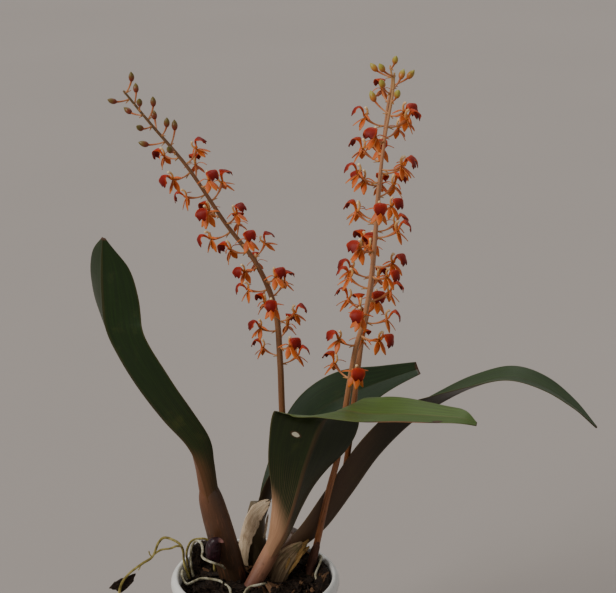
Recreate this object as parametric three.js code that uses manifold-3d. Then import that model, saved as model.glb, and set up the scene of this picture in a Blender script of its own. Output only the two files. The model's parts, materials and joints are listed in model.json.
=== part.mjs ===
// A potted Liparis latifolia orchid: a white pot of bark, four pseudobulbs with
// one leaf each, three flower spikes, old growth and roots.
// Millimetres, +Z up. The origin is the centre of the pot's flat underside.
// The plant's front is towards -Y, and its long right leaf lies towards +X.

import * as THREE from 'three';
import { mergeVertices } from 'three/addons/utils/BufferGeometryUtils.js';
import Module from 'manifold-3d';

// Driving dimensions of the pot
const POT_HEIGHT = 105;
const POT_BASE_RADIUS = 43;
const POT_RIM_RADIUS = 60;
const POT_WALL = 1.8;
const POT_FLOOR = 3;
const POT_SIDES = 40;
const DRAIN_HOLES = 5;
const DRAIN_RADIUS = 4.5;
const DRAIN_CIRCLE = 27;
const DRAIN_SIDES = 12;

// Clearance that keeps neighbouring pieces apart
const GAP = 0.35;

// Bark filling: level, rise in the middle, and a ridge heaped along the wall at
// the back and the right
const BARK_LEVEL = 96;
const BARK_RADIUS = 52;
const BARK_DOME = 3;
const BARK_LUMP = 1.1;
const BARK_WALL = { low: 95, rise: 7 };
const BARK_RIDGE = { radius: 49, spread: 7, height: 10, from: -0.3, to: 0.3 };
const BARK_RINGS = [49, 42, 32, 21, 10];
const BARK_CHUNKS = 16;
const CHUNK_SPREAD = 44;
const CHUNK_TILT = 0.5;
const CLUMP = { size: [13, 8, 22], turn: 0.98, at: [-39.9, 26.7, 105] };

// Leaf margins are this thick, and midribs as each leaf says
const LEAF_EDGE = 0.8;
const LEAF_COLUMNS = 5;
const STEPS_BETWEEN = 3;
const LEAST_HALF = 1;
const LEAST_CURL = 1e-4;

// Flowers: the turn from one to the next up a spike, and the reach of their stalks
const GOLDEN_TURN = THREE.MathUtils.degToRad(137.5);
const PEDICEL_OUT = 12;
const PEDICEL_RISE = 3.6;

const wasm = await Module();
wasm.setup();

const plant = new THREE.Group();
const vec = (x, y, z) => new THREE.Vector3(x, y, z);
const UP = vec(0, 0, 1);

// Small seeded generator, so that each build gives the same plant
function generator(seed) {
  let state = seed;
  return () => {
    state = (state * 1664525 + 1013904223) % 4294967296;
    return state / 4294967296;
  };
}

function between(random, low, high) {
  return low + (high - low) * random();
}

// Closed bodies

function cleaned(geometry) {
  const bare = geometry.clone();
  for (const name of Object.keys(bare.attributes)) {
    if (name !== 'position') bare.deleteAttribute(name);
  }
  const merged = mergeVertices(bare, 1e-4);
  const kept = [];
  const index = merged.getIndex().array;
  for (let i = 0; i < index.length; i += 3) {
    const [a, b, c] = [index[i], index[i + 1], index[i + 2]];
    if (a !== b && b !== c && c !== a) kept.push(a, b, c);
  }
  merged.setIndex(kept);
  return merged;
}

function toSolid(geometry) {
  const merged = cleaned(geometry);
  return new wasm.Manifold(new wasm.Mesh({
    numProp: 3,
    vertProperties: new Float32Array(merged.getAttribute('position').array),
    triVerts: new Uint32Array(merged.getIndex().array),
  }));
}

function toGeometry(solid) {
  const found = solid.getMesh();
  const geometry = new THREE.BufferGeometry();
  geometry.setAttribute('position', new THREE.BufferAttribute(found.vertProperties, 3));
  geometry.setIndex(new THREE.BufferAttribute(found.triVerts, 1));
  return geometry;
}

function largestBody(solid) {
  const bodies = solid.decompose();
  bodies.sort((a, b) => b.volume() - a.volume());
  return bodies[0];
}

function united(geometries) {
  return largestBody(wasm.Manifold.union(geometries.map(toSolid)));
}

function facingOut(geometry) {
  const position = geometry.getAttribute('position');
  const index = Array.from(geometry.getIndex().array);
  const [a, b, c] = [vec(0, 0, 0), vec(0, 0, 0), vec(0, 0, 0)];
  let volume = 0;
  for (let i = 0; i < index.length; i += 3) {
    a.fromBufferAttribute(position, index[i]);
    b.fromBufferAttribute(position, index[i + 1]);
    c.fromBufferAttribute(position, index[i + 2]);
    volume += a.dot(b.cross(c));
  }
  if (volume < 0) index.reverse();
  geometry.setIndex(index);
  return geometry;
}

// A closed skin through a row of rings. A ring of one point is a sharp end.
// From ringHalf on, the quads are split the other way, so that a blade's two
// faces fold along the same lines.
function loft(rings, ringHalf = Infinity) {
  const positions = [];
  const starts = [];
  for (const ring of rings) {
    starts.push(positions.length / 3);
    for (const point of ring) positions.push(point.x, point.y, point.z);
  }
  const index = [];
  for (let r = 0; r + 1 < rings.length; r++) {
    joinRings(index, starts[r], rings[r].length, starts[r + 1], rings[r + 1].length, ringHalf);
  }
  const last = rings.length - 1;
  closeRing(index, starts[0], rings[0].length, true);
  closeRing(index, starts[last], rings[last].length, false);
  const geometry = new THREE.BufferGeometry();
  geometry.setAttribute('position', new THREE.Float32BufferAttribute(positions, 3));
  geometry.setIndex(index);
  return facingOut(geometry);
}

function joinRings(index, lowStart, lowCount, highStart, highCount, ringHalf) {
  const count = Math.max(lowCount, highCount);
  for (let i = 0; i < count; i++) {
    const j = (i + 1) % count;
    const a = lowStart + (lowCount === 1 ? 0 : i);
    const b = lowStart + (lowCount === 1 ? 0 : j);
    const c = highStart + (highCount === 1 ? 0 : j);
    const d = highStart + (highCount === 1 ? 0 : i);
    const other = i >= ringHalf;
    if (lowCount === 1) index.push(a, c, d);
    else if (highCount === 1) index.push(a, b, c);
    else if (other) index.push(a, b, d, b, c, d);
    else index.push(a, b, c, a, c, d);
  }
}

function closeRing(index, start, count, reversed) {
  let low = 0;
  let high = count - 1;
  while (high - low > 1) {
    const first = [low, low + 1, high];
    const second = [low + 1, high - 1, high];
    for (const corner of [first, second]) {
      if (new Set(corner).size < 3) continue;
      const turned = reversed ? corner.reverse() : corner;
      for (const place of turned) index.push(start + place);
    }
    low += 1;
    high -= 1;
  }
}

// A smooth curve through hand-set points, one unit of t from end to end
function through(points) {
  return new THREE.CatmullRomCurve3(points, false, 'catmullrom', 0.5);
}

// Two directions square to a tangent, the second one nearest to facing
function sideways(tangent, facing) {
  const normal = facing.clone().addScaledVector(tangent, -facing.dot(tangent)).normalize();
  const across = normal.clone().cross(tangent).normalize();
  return { across, normal };
}

// A rod through points with its own radius at each, closed at both ends, which
// extend moves outwards
function rod(points, radii, sides, steps, extend = 0) {
  const curve = through(points.map((p) => vec(...p)));
  const sizes = through(radii.map((r) => vec(r, 0, 0)));
  const rings = [];
  let facing = vec(0, 1, 0);
  for (let i = 0; i <= steps; i++) {
    const t = i / steps;
    const centre = curve.getPoint(t);
    const tangent = curve.getTangent(t);
    if (i === 0) centre.addScaledVector(tangent, -extend);
    if (i === steps) centre.addScaledVector(tangent, extend);
    const { across, normal } = sideways(tangent, facing);
    const radius = sizes.getPoint(t).x;
    rings.push(ringAround(centre, across, normal, radius, radius, sides));
    facing = normal;
  }
  return loft(rings);
}

function ringAround(centre, across, normal, wide, deep, sides) {
  const ring = [];
  for (let k = 0; k < sides; k++) {
    const angle = (k / sides) * Math.PI * 2;
    ring.push(centre.clone()
      .addScaledVector(across, wide * Math.cos(angle))
      .addScaledVector(normal, deep * Math.sin(angle)));
  }
  return ring;
}

function place(name, geometry, color, roughness) {
  const material = new THREE.MeshStandardMaterial({ color, roughness, metalness: 0 });
  const mesh = new THREE.Mesh(geometry, material);
  mesh.name = name;
  plant.add(mesh);
}

// Leaves
// A leaf is a folded ribbon. Each station gives the midrib's place, the way the
// upper face looks, half the width along the blade, the fold at the midrib and
// the further curl out to the margin in radians, and the midrib's thickness.

function section(station, across, normal, centre, columns, margin) {
  const { half, fold, curl, thick } = station;
  const top = [];
  const bottom = [];
  for (let k = 0; k < columns; k++) {
    const u = -1 + (2 * k) / (columns - 1);
    const reach = Math.abs(u);
    const bend = Math.abs(curl) < LEAST_CURL ? LEAST_CURL : curl;
    const turn = fold + bend * reach;
    const out = (half / bend) * (Math.sin(fold + bend * reach) - Math.sin(fold));
    const rise = (half / bend) * (Math.cos(fold) - Math.cos(fold + bend * reach));
    const side = Math.sign(u);
    const middle = centre.clone()
      .addScaledVector(across, side * out)
      .addScaledVector(normal, rise);
    const lean = reach === 0 ? 0 : turn;
    const face = across.clone().multiplyScalar(-side * Math.sin(lean))
      .addScaledVector(normal, Math.cos(lean));
    const edge = Math.min(thick, margin);
    const depth = thick + (edge - thick) * reach;
    top.push(middle.clone().addScaledVector(face, depth / 2));
    bottom.push(middle.clone().addScaledVector(face, -depth / 2));
  }
  return top.concat(bottom.reverse());
}

function ribbon(stations, columns = LEAF_COLUMNS, stepsBetween = STEPS_BETWEEN,
  margin = LEAF_EDGE) {
  const spine = through(stations.map((s) => vec(...s.at)));
  const facing = through(stations.map((s) => vec(...s.face)));
  const shape = through(stations.map((s) => vec(s.half, s.fold, s.curl)));
  const body = through(stations.map((s) => vec(s.thick, 0, 0)));
  const steps = Math.round((stations.length - 1) * stepsBetween);
  const rings = [];
  for (let i = 0; i <= steps; i++) {
    const t = i / steps;
    const { across, normal } = sideways(spine.getTangent(t), facing.getPoint(t));
    const [half, fold, curl] = shape.getPoint(t).toArray();
    const thick = body.getPoint(t).x;
    const station = { half: Math.max(half, LEAST_HALF), fold, curl, thick };
    rings.push(section(station, across, normal, spine.getPoint(t), columns, margin));
  }
  return loft(rings, columns);
}

const LEFT_LEAF = [
  { at: [-33.6, -4, 170], face: [0.2, 1, 0.1], half: 11, fold: 0.1, curl: 1.5, thick: 2.6 },
  { at: [-38.2, -5, 190], face: [0.45, 0.9, 0.25], half: 12, fold: 0.3, curl: 1, thick: 2.2 },
  { at: [-46, -5, 207], face: [0.7, 0.6, 0.4], half: 17, fold: 0.55, curl: 0.4, thick: 1.8 },
  { at: [-61, -7, 226], face: [0.72, 0.5, 0.45], half: 24, fold: 0.6, curl: 0.2, thick: 1.6 },
  { at: [-77, -9, 250], face: [0.72, 0.5, 0.45], half: 27, fold: 0.55, curl: 0.1, thick: 1.5 },
  { at: [-90, -10, 274], face: [0.74, 0.52, 0.45], half: 28, fold: 0.48, curl: 0.1, thick: 1.4 },
  { at: [-98, -11, 295], face: [0.68, 0.62, 0.4], half: 28, fold: 0.42, curl: 0.1, thick: 1.3 },
  { at: [-99.5, -12, 319], face: [0.65, 0.7, 0.3], half: 25.5, fold: 0.38, curl: 0.1, thick: 1.2 },
  { at: [-99, -12, 341], face: [0.62, 0.75, 0.2], half: 18, fold: 0.35, curl: 0.1, thick: 1.1 },
  { at: [-97.5, -13, 358], face: [0.6, 0.75, 0.2], half: 1.5, fold: 0.3, curl: 0.1, thick: 1 },
];

const CENTRE_LEAF = [
  { at: [14.5, -7.5, 128], face: [-0.2, 1, 0.1], half: 9.5, fold: 0.1, curl: 1.5, thick: 2.6 },
  { at: [20.5, -10, 141], face: [-0.3, 1, 0.15], half: 12.5, fold: 0.3, curl: 0.95, thick: 2.4 },
  { at: [25.5, -12, 157], face: [-0.25, 1, 0.2], half: 16.5, fold: 0.45, curl: 0.7, thick: 2 },
  { at: [30, -13, 173], face: [-0.3, 1, 0.2], half: 20, fold: 0.5, curl: 0.3, thick: 1.7 },
  { at: [34.5, -13, 190], face: [-0.25, 1, 0.25], half: 26, fold: 0.42, curl: 0.1, thick: 1.5 },
  { at: [39.5, -13, 206], face: [-0.12, 0.95, 0.3], half: 30.5, fold: 0.32, curl: 0.1, thick: 1.4 },
  { at: [45, -14, 221.5], face: [-0.1, 0.85, 0.45], half: 33.5, fold: 0.26, curl: 0.1, thick: 1.4 },
  { at: [50.5, -18, 232.5], face: [-0.25, 0.5, 0.8], half: 33, fold: 0.2, curl: 0.1, thick: 1.4 },
  { at: [60, -26, 240.5], face: [-0.33, 0.22, 0.93], half: 30.5, fold: 0.16, curl: 0.1, thick: 1.3 },
  { at: [78, -37, 243], face: [-0.1, 0.14, 1], half: 27, fold: 0.16, curl: 0.1, thick: 1.3 },
  { at: [101, -45, 244.5], face: [0, 0.12, 1], half: 22.5, fold: 0.18, curl: 0.1, thick: 1.2 },
  { at: [127, -51, 245.5], face: [0.1, 0.06, 1], half: 15, fold: 0.2, curl: 0.1, thick: 1.1 },
  { at: [148, -55, 243], face: [0.15, 0, 1], half: 1.5, fold: 0.2, curl: 0.1, thick: 1 },
];

const RIGHT_LEAF = [
  { at: [34, 21, 116.5], face: [-0.5, 0.6, 0.5], half: 13, fold: 0.1, curl: 1.35, thick: 2.6 },
  { at: [50.5, 19.5, 133.5], face: [-0.6, 0.55, 0.55], half: 16.5, fold: 0.3, curl: 0.85, thick: 2.4 },
  { at: [68.5, 18, 161], face: [-0.6, 0.55, 0.55], half: 17.5, fold: 0.5, curl: 0.55, thick: 2.2 },
  { at: [87, 17, 190], face: [-0.6, 0.55, 0.6], half: 18.5, fold: 0.55, curl: 0.3, thick: 2 },
  { at: [109, 16, 214.5], face: [-0.55, 0.5, 0.7], half: 19.5, fold: 0.5, curl: 0.15, thick: 1.7 },
  { at: [130.5, 14, 231], face: [-0.4, 0.36, 0.85], half: 20, fold: 0.3, curl: 0.1, thick: 1.5 },
  { at: [153, 11, 244], face: [-0.22, 0.18, 0.97], half: 20.5, fold: 0.16, curl: 0.1, thick: 1.4 },
  { at: [177, 8, 251], face: [0, 0.1, 1], half: 20.5, fold: 0.12, curl: 0.1, thick: 1.3 },
  { at: [200, 4, 245.5], face: [0.35, 0.05, 0.95], half: 18.5, fold: 0.12, curl: 0.1, thick: 1.2 },
  { at: [220, 0, 233], face: [0.5, 0, 0.87], half: 13, fold: 0.12, curl: 0.1, thick: 1.1 },
  { at: [236.5, -4, 219], face: [0.6, 0, 0.8], half: 1.5, fold: 0.1, curl: 0.1, thick: 1 },
];

const BACK_LEAF = [
  { at: [8, 39, 138], face: [-0.9, 0.2, 0.4], half: 11, fold: 0.1, curl: 1.5, thick: 2.6 },
  { at: [12.5, 43, 152], face: [-0.85, 0, 0.5], half: 12, fold: 0.3, curl: 1, thick: 2.2 },
  { at: [22, 48, 172], face: [-0.8, -0.1, 0.5], half: 15, fold: 0.4, curl: 0.5, thick: 1.8 },
  { at: [33.5, 54, 193], face: [-0.65, -0.25, 0.65], half: 20, fold: 0.3, curl: 0.2, thick: 1.6 },
  { at: [48, 60, 206.5], face: [-0.4, -0.4, 0.8], half: 22, fold: 0.2, curl: 0.1, thick: 1.4 },
  { at: [70, 65, 217], face: [-0.15, -0.5, 0.85], half: 20.5, fold: 0.15, curl: 0.1, thick: 1.3 },
  { at: [94, 69, 225.5], face: [0, -0.5, 0.85], half: 12.5, fold: 0.15, curl: 0.2, thick: 1.2 },
  { at: [118, 72, 233], face: [0, -0.5, 0.85], half: 6, fold: 0.15, curl: 0.3, thick: 1.1 },
];

// Pseudobulbs
// Each one is a flattened, leafless swelling of the stem. Its top face meets the
// foot of its leaf, and rises slightly off the leaf's midrib towards the channel.

const BULB_SIDES = 12;
const BULB_STEPS = 9;
const CHANNEL_OFFSET = 3.6;
const NECK_LENGTH = 14;

function leafFoot(stations) {
  const spine = through(stations.map((s) => vec(...s.at)));
  const tangent = spine.getTangent(0);
  const { across, normal } = sideways(tangent, vec(...stations[0].face));
  return { point: spine.getPoint(0), tangent, across, normal };
}

// rootPoint is where the bulb starts in the bark; sizes are half widths and half
// depths from there up to the leaf
function pseudobulb(rootPoint, stations, sizes, grow = 0) {
  const foot = leafFoot(stations);
  const top = foot.point.clone()
    .addScaledVector(foot.normal, CHANNEL_OFFSET)
    .addScaledVector(foot.tangent, -GAP);
  const neck = top.clone().addScaledVector(foot.tangent, -NECK_LENGTH);
  const start = vec(...rootPoint);
  const middle = start.clone().lerp(neck, 0.5);
  const curve = through([start, middle, neck, top]);
  const shape = through(sizes.map(([wide, deep]) => vec(wide + grow, deep + grow, 0)));
  const rings = [];
  for (let i = 0; i <= BULB_STEPS; i++) {
    const t = i / BULB_STEPS;
    const { across, normal } = sideways(curve.getTangent(t), foot.normal);
    const [wide, deep] = shape.getPoint(t).toArray();
    rings.push(ringAround(curve.getPoint(t), across, normal, wide, deep, BULB_SIDES));
  }
  return loft(rings);
}

const GROWTHS = [
  {
    side: 'left', leaf: LEFT_LEAF, root: [-13, 10, 84],
    sizes: [[9.5, 7.2], [10.4, 7.6], [9.2, 7], [7.2, 5.8]], leafColor: 0x22381b, bulbColor: 0x5e3a2a,
  },
  {
    side: 'centre', leaf: CENTRE_LEAF, root: [-9, -4, 84],
    sizes: [[5.6, 5.4], [5.8, 5.6], [6.2, 5.8], [6.6, 6]], leafColor: 0x37512a, bulbColor: 0x7a5044,
  },
  {
    side: 'right', leaf: RIGHT_LEAF, root: [20, 29, 84],
    sizes: [[8, 6.5], [8.8, 7], [9.2, 7.2], [9.4, 7.2]], leafColor: 0x2a4222, bulbColor: 0x4a332a,
  },
  {
    side: 'back', leaf: BACK_LEAF, root: [0, 34, 84],
    sizes: [[7, 7], [7.8, 7.6], [7.6, 7], [7.6, 6.4]], leafColor: 0x24402c, bulbColor: 0x5a4a2c,
  },
];

function addGrowth(growth) {
  const { side, leaf, root, sizes, leafColor, bulbColor } = growth;
  place(`pseudobulb_${side}`, pseudobulb(root, leaf, sizes), bulbColor, 0.55);
  place(`leaf_${side}`, ribbon(leaf), leafColor, 0.45);
}

// Papery sheath that wraps the left side of the back pseudobulb and bends over it
const BACK_SHEATH = [
  { at: [-11.8, 31.5, 93], face: [0.9, 0.45, 0], half: 8.5, fold: 0.05, curl: 0.6, thick: 0.8 },
  { at: [-12, 31.5, 105], face: [0.9, 0.45, 0], half: 9, fold: 0.05, curl: 0.6, thick: 0.8 },
  { at: [-11.2, 31, 114], face: [0.88, 0.45, -0.15], half: 9.5, fold: 0.05, curl: 0.9, thick: 0.8 },
  { at: [-9.2, 30, 123.5], face: [0.85, 0.48, -0.25], half: 10, fold: 0.05, curl: 1, thick: 0.8 },
  { at: [-6.4, 28, 132.5], face: [0.8, 0.5, -0.35], half: 11, fold: 0.05, curl: 1, thick: 0.8 },
  { at: [-2, 24.7, 141.8], face: [0.65, 0.5, -0.55], half: 10, fold: 0.05, curl: 0.9, thick: 0.8 },
  { at: [5.3, 22.3, 148.3], face: [0.45, 0.45, -0.8], half: 7, fold: 0.05, curl: 0.6, thick: 0.8 },
  { at: [12.3, 22, 152], face: [0.4, 0.4, -0.85], half: 1, fold: 0.05, curl: 0.3, thick: 0.8 },
];
const SHEATH_COLUMNS = 7;
const SHEATH_STEPS = 1.5;

function backSheath(grow = 0) {
  const rows = BACK_SHEATH.map((row, i) => ({
    ...row,
    at: [row.at[0], row.at[1], row.at[2] - (i === 0 ? grow : 0)],
    half: row.half + grow,
    thick: row.thick + 2 * grow,
  }));
  return ribbon(rows, SHEATH_COLUMNS, SHEATH_STEPS, LEAF_EDGE + 2 * grow);
}

// Old growth: a shrivelled leafless bulb with the torn remains of its sheath
const OLD_BULB = {
  points: [[13.5, 6, 84], [15.5, 6.5, 98], [20.5, 7, 110], [27, 7, 118.5], [33.5, 7, 125.5]],
  sizes: [[6, 5], [7.8, 6], [7.8, 6], [6, 4.6], [1.8, 1.5]],
  sides: 14,
  steps: 8,
  ripples: 5,
  rippleDepth: 0.1,
};

function oldBulb(grow = 0) {
  const { points, sizes, sides, steps, ripples, rippleDepth } = OLD_BULB;
  const curve = through(points.map((p) => vec(...p)));
  const shape = through(sizes.map(([wide, deep]) => vec(wide, deep, 0)));
  const rings = [];
  for (let i = 0; i <= steps; i++) {
    const t = i / steps;
    const { across, normal } = sideways(curve.getTangent(t), vec(0, 1, 0));
    const [wide, deep] = shape.getPoint(t).toArray();
    const centre = curve.getPoint(t);
    if (i === 0) centre.addScaledVector(curve.getTangent(t), -grow);
    const ring = [];
    for (let k = 0; k < sides; k++) {
      const angle = (k / sides) * Math.PI * 2;
      const ripple = grow > 0 ? 1 : 1 - rippleDepth * (0.5 + 0.5 * Math.cos(ripples * angle + t));
      ring.push(centre.clone()
        .addScaledVector(across, (wide + grow) * ripple * Math.cos(angle))
        .addScaledVector(normal, (deep + grow) * ripple * Math.sin(angle)));
    }
    rings.push(ring);
  }
  return loft(rings);
}

const TORN_TIPS = [
  { from: [27, 6.5, 117], to: [38.4, 5, 130], wide: 2.6 },
  { from: [28.5, 7, 115], to: [39, 6.5, 123.5], wide: 2.2 },
  { from: [23, 2.5, 103.5], to: [35, 3, 122.5], wide: 1.7 },
];

const TORN_DEPTH = 1.1;
const TORN_WAIST = 0.35;

function tornTip(tip) {
  const facing = vec(0, -1, 0.3);
  return spindle(vec(...tip.from), vec(...tip.to), facing, tip.wide, TORN_DEPTH, TORN_WAIST);
}

// A flat pointed blade: two points and a three-cornered waist between them
function spindle(start, end, facing, wide, deep, waist) {
  const along = end.clone().sub(start).normalize();
  const { across, normal } = sideways(along, facing);
  const middle = start.clone().lerp(end, waist);
  const ring = [
    middle.clone().addScaledVector(across, wide).addScaledVector(normal, -deep / 3),
    middle.clone().addScaledVector(normal, (2 * deep) / 3),
    middle.clone().addScaledVector(across, -wide).addScaledVector(normal, -deep / 3),
  ];
  return loft([[start], ring, [end]]);
}

// New shoot: a plump bud with a bent tip, on the front of the left pseudobulb
const NEW_SHOOT = {
  points: [[-27.2, -3.6, 116.5], [-29.2, -6.5, 122.5], [-29.4, -8.1, 129], [-27.8, -9.2, 134.2],
    [-24.8, -10, 136], [-21.8, -10.6, 134.8]],
  radii: [3, 5, 5.3, 3.9, 2.3, 0.9],
  sides: 8,
  steps: 9,
};

function newShoot() {
  const { points, radii, sides, steps } = NEW_SHOOT;
  return rod(points, radii, sides, steps);
}

// Flower spikes
// stem and radii run from the foot to the tip. Flowers sit between the shares of
// the stem's length in flowers, and buds above them.

const STEM_SIDES = 6;
const STEM_STEPS_BETWEEN = 1.5;
const ANGLE_SPREAD = 0.25;
const FLOWER_SIZES = [0.98, 1.14];

const SPIKES = [
  {
    name: 'spike_left',
    stem: [
      [14.3, -3.2, 129.5], [19.2, -4.4, 142], [23.8, -4.3, 157], [25, 4.4, 176], [21.8, 14, 197],
      [19.3, 21, 220], [18, 23, 257], [14.8, 22, 296], [2.5, 18, 330], [-18, 14, 360],
      [-42, 8, 400], [-66, 2, 432], [-82, -2, 454],
    ],
    radii: [2.4, 2.4, 2.5, 2.5, 2.5, 2.4, 2.3, 2.1, 1.8, 1.5, 1.3, 1, 0.75],
    flowers: { count: 28, from: 0.37, to: 0.84 },
    buds: { count: 12, to: 0.995 },
    seed: 11,
    phase: 0.4,
  },
  {
    name: 'spike_front',
    stem: [
      [38, 14, 84], [38.6, 13.5, 98], [44.2, 11.5, 125], [51.8, 10.5, 163], [58.6, 11, 192],
      [64.8, 12, 235.5], [69.8, 5, 272], [76.4, -5, 304], [80.8, -12, 345], [83, -16, 388],
      [87, -17, 426], [91.5, -17, 454], [92.5, -18, 469],
    ],
    radii: [3.1, 3, 2.5, 2.4, 2.3, 2.2, 2, 1.8, 1.6, 1.35, 1.1, 0.9, 0.65],
    flowers: { count: 21, from: 0.43, to: 0.91 },
    buds: { count: 4, to: 0.995 },
    seed: 5,
    phase: 2.6,
  },
  {
    name: 'spike_rear',
    stem: [
      [32, 23.8, 119.6], [46.7, 23.4, 137.8], [61.5, 24.5, 165], [66.5, 26.5, 193], [70, 28, 226],
      [74.5, 31, 267], [80.5, 33, 302], [84, 34, 347], [87, 34, 393], [90.5, 33, 433],
      [93.5, 32, 452], [92, 32, 464],
    ],
    radii: [2.4, 2.4, 2.4, 2.3, 2.2, 2, 1.8, 1.5, 1.3, 1.1, 0.9, 0.65],
    flowers: { count: 20, from: 0.49, to: 0.93 },
    buds: { count: 4, to: 0.995 },
    seed: 3,
    phase: 0.2,
  },
];

// A flower's own directions: out from the stem, up, and across
function flowerAxes(tangent, angle) {
  const { across, normal } = sideways(tangent, vec(0, 1, 0));
  const radial = across.clone().multiplyScalar(Math.cos(angle))
    .addScaledVector(normal, Math.sin(angle));
  const lift = UP.clone().multiplyScalar(0.7).addScaledVector(tangent, 0.3);
  const up = lift.addScaledVector(radial, -lift.dot(radial)).normalize();
  const side = up.clone().cross(radial).normalize();
  return { radial, up, side };
}

function offset(origin, axes, out, rise, aside) {
  return origin.clone()
    .addScaledVector(axes.radial, out)
    .addScaledVector(axes.up, rise)
    .addScaledVector(axes.side, aside);
}

// A flower is one star of eight arms that grow from the faces of a small
// eight-sided heart. Each arm is a row of flattened three-cornered rings:
// out, rise and aside place the ring, wide and deep are its half sizes.
const HEART_RADIUS = 0.95;
const FLOWER_ARMS = [
  // lip: a claw that rises, bends over and spreads in a fan
  {
    face: ['outLeft', 'outRight', 'top'],
    rings: [[1.4, 4.6, 0, 1.4, 0.7], [4.2, 5.8, 0, 3.7, 0.9], [6.8, 3.4, 0, 4.1, 0.8],
      [7.5, 0.9, 0, 2.4, 0.5]],
  },
  // column
  { face: ['inRight', 'inLeft', 'top'], rings: [[-1.1, 4, 0, 0.7, 0.6]], tip: [0, 6.8, 0] },
  // pedicel, back to its foot on the stem
  { face: ['inLeft', 'inRight', 'bottom'], pedicel: true },
  // three sepals
  { face: ['outRight', 'outLeft', 'bottom'], rings: [[3, -3, 0, 1.3, 0.5]], tip: [5.9, -5.6, 0] },
  {
    face: ['outLeft', 'inLeft', 'bottom'],
    rings: [[1, -3.2, 2.4, 1.2, 0.5]],
    tip: [2.2, -6.2, 4.8],
  },
  {
    face: ['inRight', 'outRight', 'bottom'],
    rings: [[1, -3.2, -2.4, 1.2, 0.5]],
    tip: [2.2, -6.2, -4.8],
  },
  // two thread-like petals
  { face: ['inLeft', 'outLeft', 'top'], rings: [], tip: [-2.4, 0.6, 6.6] },
  { face: ['outRight', 'inRight', 'top'], rings: [], tip: [-2.4, 0.6, -6.6] },
];

function heartCorners(heart, axes) {
  const r = HEART_RADIUS;
  const d = r * Math.SQRT1_2;
  return {
    top: offset(heart, axes, 0, r, 0),
    bottom: offset(heart, axes, 0, -r, 0),
    outLeft: offset(heart, axes, d, 0, d),
    outRight: offset(heart, axes, d, 0, -d),
    inLeft: offset(heart, axes, -d, 0, d),
    inRight: offset(heart, axes, -d, 0, -d),
  };
}

// The corners of the face that an arm grows from, as shares of their reach across
// and along the normal. The arm's rings keep this order, pressed flat.
function cornerShares(corners, across, normal) {
  const middle = middleOf(corners);
  const places = corners.map((corner) => {
    const arm = corner.clone().sub(middle);
    return [arm.dot(across), arm.dot(normal)];
  });
  const reachAcross = Math.max(...places.map(([a]) => Math.abs(a)));
  const reachNormal = Math.max(...places.map(([, n]) => Math.abs(n)));
  return places.map(([a, n]) => [a / reachAcross, n / reachNormal]);
}

function flower(foot, axes, size) {
  const heart = offset(foot, axes, PEDICEL_OUT * size, PEDICEL_RISE * size, 0);
  const named = heartCorners(heart, axes);
  const names = Object.keys(named);
  const points = Object.values(named);
  const index = [];
  const at = ([out, rise, aside]) => offset(heart, axes, out * size, rise * size, aside * size);
  for (const arm of FLOWER_ARMS) {
    const corners = arm.face.map((name) => named[name]);
    let base = arm.face.map((name) => names.indexOf(name));
    let last = heart;
    let flat = middleOf(corners).sub(heart);
    let shares = null;
    const rings = arm.pedicel ? pedicelRings(foot, heart, axes) : arm.rings.map((ring) => ({
      centre: at(ring), wide: ring[3] * size, deep: ring[4],
    }));
    const end = arm.tip ? at(arm.tip) : null;
    rings.forEach((ring, i) => {
      const next = i + 1 < rings.length ? rings[i + 1].centre : end ?? ring.centre;
      const { across, normal } = sideways(next.clone().sub(last).normalize(), flat);
      shares ??= cornerShares(corners, across, normal);
      const start = points.length;
      for (const [a, n] of shares) {
        points.push(ring.centre.clone()
          .addScaledVector(across, a * ring.wide)
          .addScaledVector(normal, n * ring.deep));
      }
      const above = [start, start + 1, start + 2];
      joinTriangles(index, base, above);
      base = above;
      last = ring.centre;
      flat = normal;
    });
    if (end) {
      points.push(end);
      const tip = points.length - 1;
      for (let i = 0; i < 3; i++) index.push(base[i], base[(i + 1) % 3], tip);
    } else {
      index.push(...base);
    }
  }
  return indexed(points, index);
}

function middleOf(corners) {
  return corners[0].clone().add(corners[1]).add(corners[2]).divideScalar(3);
}

function joinTriangles(index, base, above) {
  for (let i = 0; i < 3; i++) {
    const j = (i + 1) % 3;
    index.push(base[i], base[j], above[j], base[i], above[j], above[i]);
  }
}

// The stalk sags below the straight line from its foot to the heart
const PEDICEL_SAG = 1.4;
const PEDICEL_RADII = [0.7, 0.6];

function pedicelRings(foot, heart, axes) {
  const middle = foot.clone().lerp(heart, 0.6).addScaledVector(axes.up, -PEDICEL_SAG);
  return [middle, foot].map((centre, i) => {
    return { centre, wide: PEDICEL_RADII[i], deep: PEDICEL_RADII[i] };
  });
}

function indexed(points, index) {
  const geometry = new THREE.BufferGeometry();
  const numbers = points.flatMap((point) => point.toArray());
  geometry.setAttribute('position', new THREE.Float32BufferAttribute(numbers, 3));
  geometry.setIndex(index);
  return facingOut(geometry);
}

// Buds shrink towards the tip of the spike, as youth goes from 0 to 1
const BUD = { reach: 9.5, reachLoss: 6, size: 4.6, sizeLoss: 1, stalk: 0.55, sides: 4 };

function bud(foot, axes, youth) {
  const reach = BUD.reach - BUD.reachLoss * youth;
  const size = BUD.size - BUD.sizeLoss * youth;
  const heart = offset(foot, axes, reach, reach * 0.45, 0);
  const tip = offset(heart, axes, size * 0.9, size * 1.3, 0);
  const along = tip.clone().sub(foot).normalize();
  const { across, normal } = sideways(along, axes.side);
  const ring = (centre, radius) => ringAround(centre, across, normal, radius, radius, BUD.sides);
  const belly = heart.clone().lerp(tip, 0.5);
  return loft([ring(foot, BUD.stalk), ring(heart, BUD.stalk), ring(belly, size / 2), [tip]]);
}

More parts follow.
